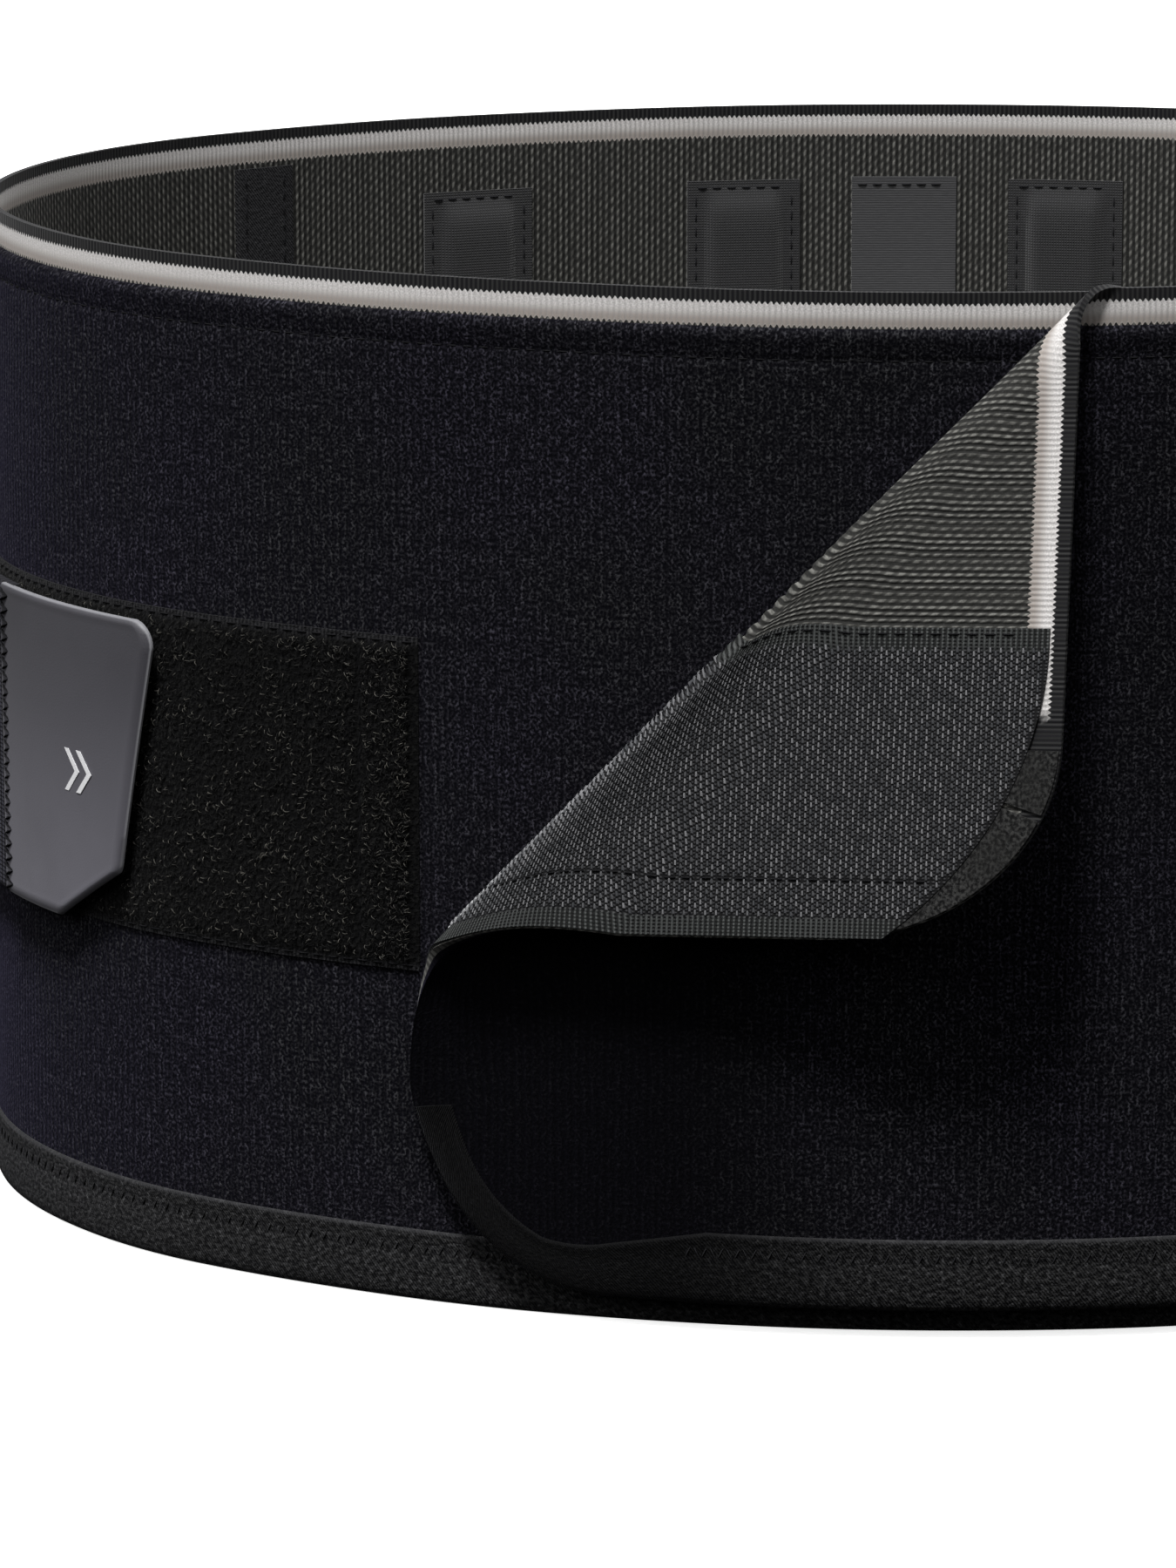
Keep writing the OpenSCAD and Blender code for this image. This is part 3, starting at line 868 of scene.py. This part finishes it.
def wall(tag, place, s0, s1, low, top, attach):
    """One stretch of belt: elastic web, face fabric, hem and their seams."""
    s = spread(s0, s1, 2.2)
    bottom = low + 0.7              # inside the hem
    sg, zg = grid(s, web_rows(bottom, top))
    finish_piece(sheet(tag + "_web_cloth", sg, zg, web_in, web_out, place, "elastic_web", top=top),
                 tag + "_web", attach)
    sg, zg = grid(s, face_rows(bottom, top))
    finish_piece(sheet(tag + "_face_cloth", sg, zg, web_out + 0.02, face_profile(zg, top), place,
                       "loop_fabric", top=top), tag + "_face", attach)
    outer, inner, uv, _, _ = hem_grids(place, s, 0 * s + low, 0 * s, 0 * s + 1, 0 * s + hem_h)
    finish_piece(slab(tag + "_hem", outer, inner, "edge_binding", uv, sharp=60),
                 tag + "_binding", attach)
    sew(tag + "_hem_zigzag", hem_zigzags(place, s0 + 1, s1 - 1, low), attach, 0.13)
    line = level(face_edge(top) - SEAM_DROP, s0 + 1, s1 - 1, 2.0)
    sew(tag + "_top_seam", running(place, *line, -0.30, 2.2, 0.8, 0.12), attach,
        0.14, "black")


ride_back = rides("back_panel")


wing_end_under = BASE.wide + side_r * seam_t + wing_lap
wing_end_over = OVER.wide + side_r * seam_t + wing_lap
back_end = 2 * BASE.wide - wing_end_under
FLAP_JOIN = 65.0                # beyond this the over panel has its own sheets

wall("under", on_under, -wing_end_under, under_end, 0.0, belt_h, bends_with("under_wing"))
wall("over", on_over, FLAP_JOIN, wing_end_over, flap_rise, over_top, bends_with("over_wing"))
wall("back", on_back, -back_end, back_end, 0.0, belt_h, ride_back)


# ---- Flap with its folded corner ----

STRIPE_END = -57.0              # the grey stripe stops here, short of the flap's end
FLAP_STEP = 1.15                # spacing of the flap's grid

def corner_rows(low, top, r_low, r_top, step):
    """Heights of rows that follow rounded corners, and how far each row starts past the end."""
    bow = 1 - np.cos(np.linspace(0, math.pi / 2, 26))
    z = np.concatenate([low + r_low * bow[:-1], spread(low + r_low, top - r_top, step),
                        top - r_top * bow[::-1][1:]])
    start = np.zeros_like(z)
    for r, depth in ((r_low, low + r_low - z), (r_top, z - top + r_top)):
        start += np.where(depth > 0, r - np.sqrt(np.clip(r ** 2 - depth ** 2, 0, None)), 0)
    return z, start


def crease_spaced(low, high, crease, reach, count):
    """Positions along each grid line, closer together where the line crosses the crease."""
    at = low[:, None] + (high - low)[:, None] * np.linspace(0, 1, 400)[None, :]
    weight = 1 + 4.0 * np.exp(-((at - crease[:, None]) / np.maximum(5.0, reach)[:, None]) ** 2)
    total = np.cumsum(weight[:, 1:] + weight[:, :-1], 1)
    total = np.concatenate([0 * low[:, None], total / total[:, -1:]], 1)
    steps = np.linspace(0, 1, count)
    return np.stack([np.interp(steps, total[i], at[i]) for i in range(len(low))])


def shade(s):
    """How much of its light the flap's end loses below the folded corner."""
    return 0.88 * smooth((-4 - s) / 50)


def flap_grid(top, r_top):
    """Grid over the flap up to the given top, with the rows ending at its rounded corners."""
    z, start = corner_rows(flap_rise + 0.7, top, flap_low_r, r_top, FLAP_STEP)
    cols = int((FLAP_JOIN + flap_end) / FLAP_STEP)
    left = -flap_end + start
    crease = fold_top_s + (z - over_top) * COS_F / SIN_F
    reach = 0.75 * band(fold_coords(crease, z)[0]) / SIN_F
    s = crease_spaced(left, 0 * left + FLAP_JOIN, crease, reach, cols)
    return s, np.repeat(z[:, None], cols, 1)


def flap_piece(name, s, z, n_in, n_out, material, node, extra=None):
    ob = sheet(name, s, z, n_in, n_out, on_flap, material, top=over_top, extra=extra)
    finish_piece(ob, node, folds_with(both_skins(fold_weight(s, z))))


sg, zg = flap_grid(over_top, flap_top_r)
flap_piece("flap_web_cloth", sg, zg, web_in, web_out, "elastic_web", "corner_web",
           {"plain": np.clip(STRIPE_END - sg, 0, 1)})

face_top = face_edge(over_top)
sg, zg = flap_grid(face_top, flap_top_r - stripe_drop * 0.4)
flap_piece("flap_face_cloth", sg, zg, web_out + 0.02, face_profile(zg, over_top), "loop_fabric",
           "corner_face", {"shade": shade(sg)})

# Hem round the flap's lower corner, narrower on the curve.
HEM_TURN = math.radians(80)
turn = np.linspace(HEM_TURN, 0, 40)
arc_s = -flap_end + flap_low_r - flap_low_r * np.sin(turn)
arc_z = flap_rise + flap_low_r * (1 - np.cos(turn))
edge_s = np.r_[arc_s, spread(-flap_end + flap_low_r, FLAP_JOIN, 2.0)[1:]]
edge_z = np.r_[arc_z, np.full(len(edge_s) - len(turn), flap_rise)]
lean = np.r_[np.sin(turn), np.zeros(len(edge_s) - len(turn))]
width = 7.5 + (hem_h - 7.5) * np.clip((edge_s + flap_end - 22) / 34, 0, 1)
outer, inner, uv, sg, zg = hem_grids(on_flap, edge_s, edge_z, lean, np.sqrt(1 - lean ** 2), width)
flap_hem = slab("flap_hem", outer, inner, "edge_binding", uv, {"shade": shade(sg)}, 60)
finish_piece(flap_hem, None, folds_with(both_skins(fold_weight(sg, zg))))
rows = hem_zigzags(on_flap, -flap_end + flap_low_r + 14, FLAP_JOIN - 1, flap_rise)
sew("flap_hem_zigzag", rows, rides("over_wing"), 0.13)


def fold_stitches(name, lines, n, radius, lift):
    """Running stitches on the flap, weighted for the fold by their place in the fabric."""
    points = [sz for line in lines for sz in stitch_points(*line, 2.2, 0.8)]
    weight = np.concatenate([np.repeat(fold_weight(s, z), 4) for s, z in points])
    sew(name, [thread(on_flap, s, z, n + lift * STITCH_RISE) for s, z in points],
        folds_with(weight), radius, "black")


fold_stitches("flap_top_seam", [level(face_top - SEAM_DROP, -40, FLAP_JOIN - 1)], -0.30, 0.14,
              0.12)

# Hook tape inside the flap end. Its upper end is cut along a wide arc.
HOOK_ARC_R, HOOK_ARC_S, HOOK_DROP = 75.0, -44.0, 2.6
hook_low = flap_rise + hem_h + 1.0
hook_s1 = -flap_end + hook_w


def hook_top(s):
    """Height of the hook tape's upper cut edge."""
    d = np.clip(HOOK_ARC_S - s, 0, None)
    return over_top - HOOK_DROP - (HOOK_ARC_R - np.sqrt(HOOK_ARC_R ** 2 - d ** 2))


def hook_low_edge(s):
    """Height of the hook tape's lower edge, above the rounded corner."""
    sc = -flap_end + flap_low_r
    r = flap_low_r - 0.4
    d = np.clip(sc - s, 0, r)
    return np.maximum(hook_low, flap_rise + flap_low_r - np.sqrt(r * r - d * d))


s_cols = np.r_[spread(-flap_end + 0.4, -flap_end + 4.4, 0.8)[:-1],
               spread(-flap_end + 4.4, hook_s1 - 4, 1.1)[:-1], spread(hook_s1 - 4, hook_s1, 0.8)]
crease = over_top + (s_cols - fold_top_s) * SIN_F / COS_F
reach = 0.75 * band(fold_coords(s_cols, crease)[0]) / COS_F
zg = crease_spaced(hook_low_edge(s_cols), hook_top(s_cols), crease, reach, 150).T
sg = np.repeat(s_cols[None, :], len(zg), 0)
selvage = np.clip(np.maximum(4.2 - (sg + flap_end), sg - (hook_s1 - 4.2)) / 0.3, 0, 1)
flap_piece("flap_hook_cloth", sg, zg, web_in - 0.55, web_in - 0.02, "hook_tape",
           "flap_hook", {"selvage": selvage})

HOOK_DS, HOOK_DZ = 1.36, 0.90
ss, zz = np.meshgrid(np.arange(-flap_end + 4.6, hook_s1 - 4.9, HOOK_DS),
                     np.arange(hook_low, over_top, HOOK_DZ))
ss = ss + (np.arange(len(ss)) % 2)[:, None] * HOOK_DS / 2
ok = (zz < hook_top(ss) - 0.5) & (zz > hook_low_edge(ss) + 0.5)
HOOK_SEAM = -flap_end + 11.5    # stitched row across the hooks
ok &= np.abs(ss - HOOK_SEAM) > 0.5
ss, zz = ss[ok], zz[ok]
hooks, ss, zz = studs("flap_hooks", on_flap, ss, zz, web_in - 0.5, -0.45, 0.52, 0.36, "hook_studs")
finish_piece(hooks, "corner_hook", folds_with(np.repeat(fold_weight(ss, zz), 12)))
seam_lines = [upright(HOOK_SEAM, hook_low + 22, float(hook_top(np.array(HOOK_SEAM))) - 1),
              upright(hook_s1 - 1.2, hook_low + 2, over_top - 6)]
fold_stitches("flap_hook_seams", seam_lines, web_in - 0.62, 0.16, -0.14)


# Smooth lining strip around the rounded upper corner, under the hook tape's cut edge.
def lining(name, t0, t1):
    t, r = np.meshgrid(np.linspace(t0, t1, 40), flap_top_r - 0.3 - np.linspace(0, 26, 16))
    sg = flap_top_r - flap_end + r * np.cos(t)
    zg = over_top - flap_top_r + r * np.sin(t)
    flap_piece(name, sg, zg, web_in - 0.38, web_in - 0.01, "corner_lining", None)


SLIT = math.radians(112)
lining("corner_lining_side", SLIT + 0.018, math.pi)
lining("corner_lining_top", math.radians(92), SLIT - 0.018)


# ---- Loop patches ----

PATCH_SEAM = 11.8               # from a patch's front edge to its stitched row


def loop_patch(tag, place, sign, oval, attach):
    s0 = patch_front - 3.0
    s1 = patch_front + patch_l + (oval.wide - BASE.wide)
    z0, z1 = strap_z + 0.3, patch_top + 0.6
    sg, zg = grid(spread(s0, s1, 1.5), spread(z0, z1, 1.2))
    edge = np.minimum(np.minimum(zg - z0, z1 - zg), np.minimum(sg - s0, s1 - sg))
    puff = np.clip((edge - 1.6) / 1.2, 0, 1)
    seam = np.exp(-((sg - s0 - PATCH_SEAM) / 0.7) ** 2)
    lumps = 0.10 * np.sin(sg * 1.9 + np.sin(zg * 0.9)) * np.sin(zg * 2.1 + np.sin(sg * 0.7))
    n_out = 0.45 + (0.55 + lumps) * puff - 0.35 * seam * puff
    ob = sheet("loop_patch_cloth_" + tag, sign * sg, zg, 0.02, n_out, place, "loop_pile",
               low=z0)
    finish_piece(ob, "loop_patch_" + tag, attach)
    k = 9000
    s = s0 + 2 + (s1 - s0 - 4) * rng.uniform(0, 1, k) ** 1.55
    z = rng.uniform(z0 + 1.6, z1 - 1.6, k)
    keep = np.abs(s - s0 - PATCH_SEAM) > 0.7
    ob = fibres("loop_pile_fibres_" + tag, place, sign * s[keep], z[keep], 0.88, 1.0, "pile_fibre")
    finish_piece(ob, None, attach)
    rows = running(place, *upright(sign * (s0 + PATCH_SEAM), z0 + 1, z1 - 1), 0.66)
    for z in (z0 + 0.9, z1 - 0.9):
        rows += running(place, *level(z, sign * (s0 + 1), sign * (s1 - 1)), 0.48)
    sew("loop_patch_seams_" + tag, rows, attach, 0.15, "black")


loop_patch("right", on_under, -1, BASE, rides("under_wing"))
loop_patch("left", on_over, 1, OVER, rides("over_wing"))


# ---- Pull straps and tabs ----

def strap_level(s, oval):
    """Middle of the strap above the face fabric: low at the back, over the loop patch in front."""
    return 2.3 - 1.45 * smooth((s - (oval.wide + 8)) / 55)


def strap_sheet(name, place, sign, s_near, s_far, oval, extra_n=0.0):
    sg, zg = grid(spread(s_near, s_far, 1.6), edged(strap_z, strap_z + strap_h, (0, 0.25, 0.7, 1.4),
                                                    (strap_h - 6) / 24, 3))
    rise = zg - strap_z
    half = 0.38 + 0.42 * rounded(np.minimum(rise, strap_h - rise) / 0.8) + extra_n
    mid = strap_level(sg, oval)
    ob = sheet(name, sign * sg, zg, mid - np.minimum(half, 0.78), mid + half, place,
               "strap_elastic", low=strap_z)
    return ob, sg


def arc(centre, r, a0, a1, count):
    t = np.linspace(a0, a1, count)
    return np.stack([centre[0] + r * np.cos(t), centre[1] + r * np.sin(t)], -1)


def tab_shape(grow=0.0):
    """Outline of a tab as rows of height and leading end, measured from its seam."""
    r, slant, chin_l, chin_h = 5.0, 8.0, 20.0, 9.0
    nose = arc((tab_l - r, strap_h - r), r + grow, math.pi / 2, 0.0, 9)
    low_c = (tab_l - slant - r, chin_h + r)
    edge_a = math.atan2(-slant, strap_h - 2 * r - chin_h)
    chin = np.array([tab_l - slant - chin_l + 1, -grow])
    v = np.array(low_c) - chin
    chin_a = math.atan2(v[1], v[0]) - math.pi / 2 + math.asin(min(1, (r + grow) / np.hypot(*v)))
    low = arc(low_c, r + grow, edge_a, chin_a - 0.02, 7)
    return np.vstack([nose, low, chin])[::-1]


def tab_grid(grow, s_from, step=1.2):
    outline = tab_shape(grow)
    z_fine = np.unique(np.concatenate([outline[:, 1], spread(outline[0, 1], outline[-1, 1], step)]))
    z_fine = z_fine[np.r_[True, np.diff(z_fine) > 0.12]]
    lead = np.interp(z_fine, outline[:, 1], outline[:, 0])
    cols = int(tab_l / step)
    w = np.linspace(0, 1, cols)[None, :]
    u = s_from + (lead[:, None] - s_from) * w
    z = np.repeat(z_fine[:, None], cols, 1)
    return u, z, outline


def edge_distance(u, z, outline, s_from):
    back = [[s_from, outline[-1, 1]], [s_from, outline[0, 1]]]
    loop = np.vstack([outline, back, outline[:1]])
    a, b = loop[:-1], loop[1:]
    p = np.stack([u, z], -1)[..., None, :]
    ab = b - a
    t = np.clip(((p - a) * ab).sum(-1) / np.maximum((ab ** 2).sum(-1), 1e-9), 0, 1)
    return np.sqrt(((p - a - t[..., None] * ab) ** 2).sum(-1)).min(-1)


TAB_N = 2.8                     # the tab's inner side above the face fabric
STRAP_STRETCH = 50.0            # length of strap that stretches when its tab is pulled


def strap(tag, sign, oval, place, wing, seam):
    """The strap's three stretches: sewn to the back, stretching, and turned at the tab."""
    turn, rear_end = seam + 8, oval.wide + 38.0
    anchor_from = 2 * BASE.wide - 66.0 + oval.wide - BASE.wide
    ob, _ = strap_sheet("strap_rear_cloth_" + tag, place, sign, rear_end, anchor_from, oval)
    finish_piece(ob, "strap_rear_" + tag, bends_with(wing))

    def stretch(ob):
        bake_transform(ob, wing, tag + "_strap", start=(0, 0.034, 0.1), end=(0, -0.010, 0.1))
        share = np.clip(1 - (sg - turn) / STRAP_STRETCH, 0, 1) ** 2
        set_weight(ob, both_skins(share))

    ob, sg = strap_sheet("strap_free_cloth_" + tag, place, sign, turn, rear_end, oval)
    finish_piece(ob, "strap_mid_" + tag, stretch)

    def bend_at_seam(ob):
        still, turned = (float(place(np.array(sign * s), 90.0, 2.0)[1]) / MM
                         for s in (seam + 2.5, seam - 1.0))
        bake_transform(ob, tag + "_strap", tag + "_tab", start=(0, still, 0.1), end=(0, turned, 0.1))

    ob, _ = strap_sheet("strap_turn_cloth_" + tag, place, sign, seam - 3.5, turn, oval, 0.25)
    finish_piece(ob, "strap_end_" + tag, bend_at_seam)


def tab_lift(u):
    """How far a tab's leading end stands off."""
    return 0.55 * np.clip(u / tab_l, 0, 1) ** 3


def tab_cover(tag, tab_at, attach):
    """Moulded tab with a raised rim."""
    u, z, outline = tab_grid(0.0, -0.5)
    d = edge_distance(u, z, outline, -30.0)
    rim = rounded(d / 0.8) * 0.85 + 0.07 * np.exp(-((d - 1.1) / 0.5) ** 2)
    crown = 0.25 * np.clip(d / 18, 0, 1)
    inner = TAB_N + tab_lift(u)
    ob = slab("tab_cover_" + tag, tab_at(u, z, inner + 0.45 + rim + crown),
              tab_at(u, z, inner), "tab_rubber", np.stack([u, z], -1), {"rim": d}, 50)
    finish_piece(ob, "tab_" + tag, attach)


def tab_hooks(tag, tab_at, attach):
    """Hook pad under the tab."""
    u, z, _ = tab_grid(-4.0, 4.0, 1.6)
    ob = slab("tab_hook_pad_" + tag, tab_at(u, z, TAB_N - 0.02), tab_at(u, z, TAB_N - 0.50),
              "hook_tape", np.stack([u, z], -1), {"selvage": 0 * u})
    finish_piece(ob, "tab_hook_" + tag, attach)
    u, z = np.meshgrid(np.arange(5.0, tab_l - 5, HOOK_DS), np.arange(5.0, strap_h - 5, HOOK_DZ))
    u = u + (np.arange(len(u)) % 2)[:, None] * HOOK_DS / 2
    inset = tab_shape(-4.6)
    keep = u < np.interp(z, inset[:, 1], inset[:, 0])
    ob, _, _ = studs("tab_hooks_" + tag, tab_at, u[keep], z[keep], TAB_N - 0.45, -0.50, 0.46,
                     0.26, "hook_studs")
    finish_piece(ob, None, attach)


def tab_set(tag, sign, oval, place, wing):
    """Pull strap with its tab, sewn together by a zigzag seam."""
    seam = tab_tip + tab_l + oval.wide - BASE.wide
    attach = rides(tag + "_tab")

    def tab_at(u, z, n):
        return place(sign * (seam - u), z + strap_z, n)

    strap(tag, sign, oval, place, wing, seam)
    tab_cover(tag, tab_at, attach)
    tab_hooks(tag, tab_at, attach)
    line = upright(1.2, 0.8, strap_h - 0.8, 0.5)
    rows = [zigzag(tab_at, *line, 1.7, 0.0, 2.6, TAB_N + 1.75, TAB_N + 1.2)]
    sew("tab_zigzag_" + tag, rows, attach, 0.30, "black")
    finish_piece(pull_mark("tab_mark_" + tag, tab_at), None, attach)


def pull_mark(name, tab_at):
    """Two plain chevrons printed on the tab, pointing the way it's pulled."""
    across = np.linspace(-4.0, 4.0, 17)
    verts = []
    for shift in (0.0, 3.6):
        u = 28.0 + shift - np.abs(across) * 0.8
        rings = [tab_at(u + du, across + 29.0, TAB_N + 1.50 + dn + tab_lift(u + du))
                 for du, dn in ((0.0, 0.0), (1.3, 0.0), (1.3, 0.12), (0.0, 0.12))]
        verts.append(np.stack(rings, 1).reshape(-1, 3))
    verts = np.concatenate(verts)
    return make_object(name, verts, repeated(box_faces(len(across)), 2), "tab_mark",
                       verts[:, [0, 2]])


tab_set("right", -1, BASE, on_under, "under_wing")
tab_set("left", 1, OVER, on_over, "over_wing")


# ---- Back: side seams, stays in pockets, label, strap anchors ----

def seam_tape(tag, sign):
    s = sign * back_end
    z0, z1 = 0.9, belt_h - stripe_drop - 0.5
    for side_name, n0, n1 in (("out", 0.03, 0.55), ("in", web_in - 0.5, web_in - 0.02)):
        sg, zg = grid(edged(s - 7, s + 7, (0, 0.6, 1.5), 3.0, 4), spread(z0, z1, 2.0))
        edge = np.clip((7 - np.abs(sg - s)) / 1.2, 0, 1)
        if side_name == "out":
            low, high = n0 + 0 * sg, n0 + 0.15 + (n1 - n0 - 0.15) * rounded(edge)
        else:
            low, high = n0 + 0.3 * (1 - edge), n1 + 0 * sg
        ob = sheet(f"seam_tape_{side_name}_{tag}", sg, zg, low, high, on_back, "edge_binding",
                   low=-40.0)
        finish_piece(ob, None, ride_back)
    rows = []
    for ds in (-4.6, 4.6):
        line = upright(s + ds, z0 + 1, z1 - 1)
        rows += running(on_back, *line, 0.56)
        rows += running(on_back, *line, web_in - 0.52, lift=-0.16)
    sew("seam_tape_stitches_" + tag, rows, ride_back, 0.16)


seam_tape("right", -1)
seam_tape("left", 1)

STAYS = [(-92.0, 1), (-34.0, 2), (34.0, 3), (92.0, 4)]
POCKET_Z = (hem_h + 2, belt_h - hem_h - 2)


def pocket(s0, index):
    """Sleeve sewn inside the back web, swelling over its stay."""
    z0, z1 = POCKET_Z
    sg, zg = grid(edged(s0 - 12, s0 + 12, (0, 0.4, 1, 2.5, 3.6, 4.8, 5.8), 1.25, 7),
                  edged(z0, z1, (0, 0.3, 0.9, 2, 4), 4.0, 7))
    swell = (smooth((8.6 - np.abs(sg - s0)) / 2.6)
             * smooth(np.minimum(zg - z0 - 1.5, z1 - 1.5 - zg) / 4.0))
    ob = sheet(f"pocket_cloth_{index}", sg, zg, web_in - 0.45 - 1.85 * swell,
               web_in - 0.02 - 1.50 * swell, on_back, "pocket_cloth", low=0.0)
    finish_piece(ob, f"stay_pocket_{index}", ride_back)
    lines = [upright(s0 - 10.2, z0 + 1.6, z1 - 1.6), upright(s0 + 10.2, z0 + 1.6, z1 - 1.6),
             level(z0 + 1.4, s0 - 10, s0 + 10), level(z1 - 1.4, s0 - 10, s0 + 10)]
    rows = [stitch for line in lines for stitch in running(on_back, *line, web_in - 0.48, lift=-0.15)]
    for s in (s0 - 9, s0 + 9):
        rows += running(on_back, *upright(s, z0 + 1.6, z1 - 1.6), 0.0, lift=0.15)
    sew(f"pocket_stitches_{index}", rows, ride_back, 0.15)


for s0, index in STAYS:
    pocket(s0, index)
for index in (1, 2, 3, 4):
    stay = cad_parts[f"stay_{index}"]
    stay.data.materials.clear()
    stay.data.materials.append(MATERIALS["stay_plastic"])

label_top, label_h = corner_mm("care_label", 1, 2), 34.0
sg, zg = grid(np.linspace(-11, 11, 23), spread(label_top - label_h, label_top, 1.5))
lift = 0.9 * np.clip((label_top - 4 - zg) / 30, 0, 1) ** 2 * (1 + 0.3 * np.sin(sg / 4))
ob = sheet("label_cloth", sg, zg, web_in - 0.34 - lift, web_in - 0.08 - lift, on_back, "label_tape",
           low=0.0)
finish_piece(ob, "care_label", ride_back)
rows = running(on_back, *level(label_top - 1.6, -10.0, 10.0), web_in - 0.38, lift=-0.15)
sew("label_stitches", rows, ride_back, 0.15)


def anchor(tag, sign):
    s0, s1 = 66.0, 86.0
    z0, z1 = strap_z - 3, strap_z + strap_h + 3
    sg, zg = grid(edged(s0, s1, (0, 0.3, 1), 1.6, 2), edged(z0, z1, (0, 0.3, 1, 2.4, 3.2), 2.0, 5))
    base = 0.05 + 1.60 * smooth(np.minimum(zg - z0 - 2.0, z1 - 2.0 - zg) / 1.4)
    n_out = base + 0.35 + 0.5 * rounded(np.minimum(sg - s0, s1 - sg) / 0.9)
    ob = sheet("anchor_cloth_" + tag, sign * sg, zg, base, n_out, on_back, "anchor_tape", low=0.0)
    finish_piece(ob, "strap_anchor_" + tag, ride_back)
    near, far, low, high = sign * (s0 + 2.5), sign * (s1 - 2.5), z0 + 6, z1 - 6
    rows = (running(on_back, np.array([near, far, far, near, near, far]),
                    np.array([low, low, high, high, low, high]), 2.52)
            + running(on_back, np.array([near, far]), np.array([high, low]), 2.52))
    sew("anchor_stitches_" + tag, rows, ride_back, 0.18)


anchor("right", -1)
anchor("left", 1)

# ---- Floor, light, camera ----

mesh = bpy.data.meshes.new("floor")
half = 6.0
mesh.from_pydata([(-half, -half, 0), (half, -half, 0), (half, half, 0), (-half, half, 0)], [],
                 [(0, 1, 2, 3)])
floor = bpy.data.objects.new("floor", mesh)
floor.data.materials.append(MATERIALS["floor"])
bpy.context.scene.collection.objects.link(floor)

floor.visible_diffuse = False
floor.visible_glossy = False

world = bpy.data.worlds.new("studio")
bpy.context.scene.world = world
world.use_nodes = True


def world_light():
    """White where the camera sees it. It lights the belt dimly, more from above than below."""
    tree = world.node_tree
    white = tree.nodes["Background"]
    white.inputs[0].default_value = (1.0, 1.0, 1.0, 1.0)
    up = new_node(tree, "SeparateXYZ", new_node(tree, "TexCoord").outputs["Generated"]).outputs[2]
    rise = new_node(tree, "MapRange", up, -0.10, 0.90, 0.03, 0.34, interpolation_type="SMOOTHSTEP")
    dim = new_node(tree, "Background")
    feed(tree, rise.outputs[0], dim.inputs[1])
    seen = new_node(tree, "LightPath").outputs["Is Camera Ray"]
    choose = new_node(tree, "MixShader", seen, dim.outputs[0], white.outputs[0])
    feed(tree, choose.outputs[0], tree.nodes["World Output"].inputs["Surface"])


def sun(name, azimuth, elevation, softness, strength):
    """Distant light. Azimuth is from the belt's front towards its left in the picture."""
    data = bpy.data.lights.new(name, "SUN")
    data.energy = strength
    data.angle = math.radians(softness)
    light = bpy.data.objects.new(name, data)
    bpy.context.scene.collection.objects.link(light)
    a, e = math.radians(azimuth), math.radians(elevation)
    towards = Vector((-math.sin(a) * math.cos(e), -math.cos(a) * math.cos(e), math.sin(e)))
    light.rotation_euler = towards.to_track_quat("Z", "Y").to_euler()


world_light()
sun("key", 22, 68, 12, 4.8)
sun("side", 75, 35, 50, 1.4)
sun("fill", -40, 40, 60, 0.5)
sun("rear", -155, 40, 40, 2.4)

camera = bpy.data.objects.new("camera", bpy.data.cameras.new("camera"))
bpy.context.scene.collection.objects.link(camera)
camera.location = (-0.0659, -1.5, 0.4008)
camera.rotation_euler = (math.pi / 2 - 0.215, 0, 0)
camera.data.sensor_width = 36.0
camera.data.lens = 180.47
camera.data.clip_start = 0.05
bpy.context.scene.camera = camera
bpy.context.scene.view_settings.view_transform = "Standard"
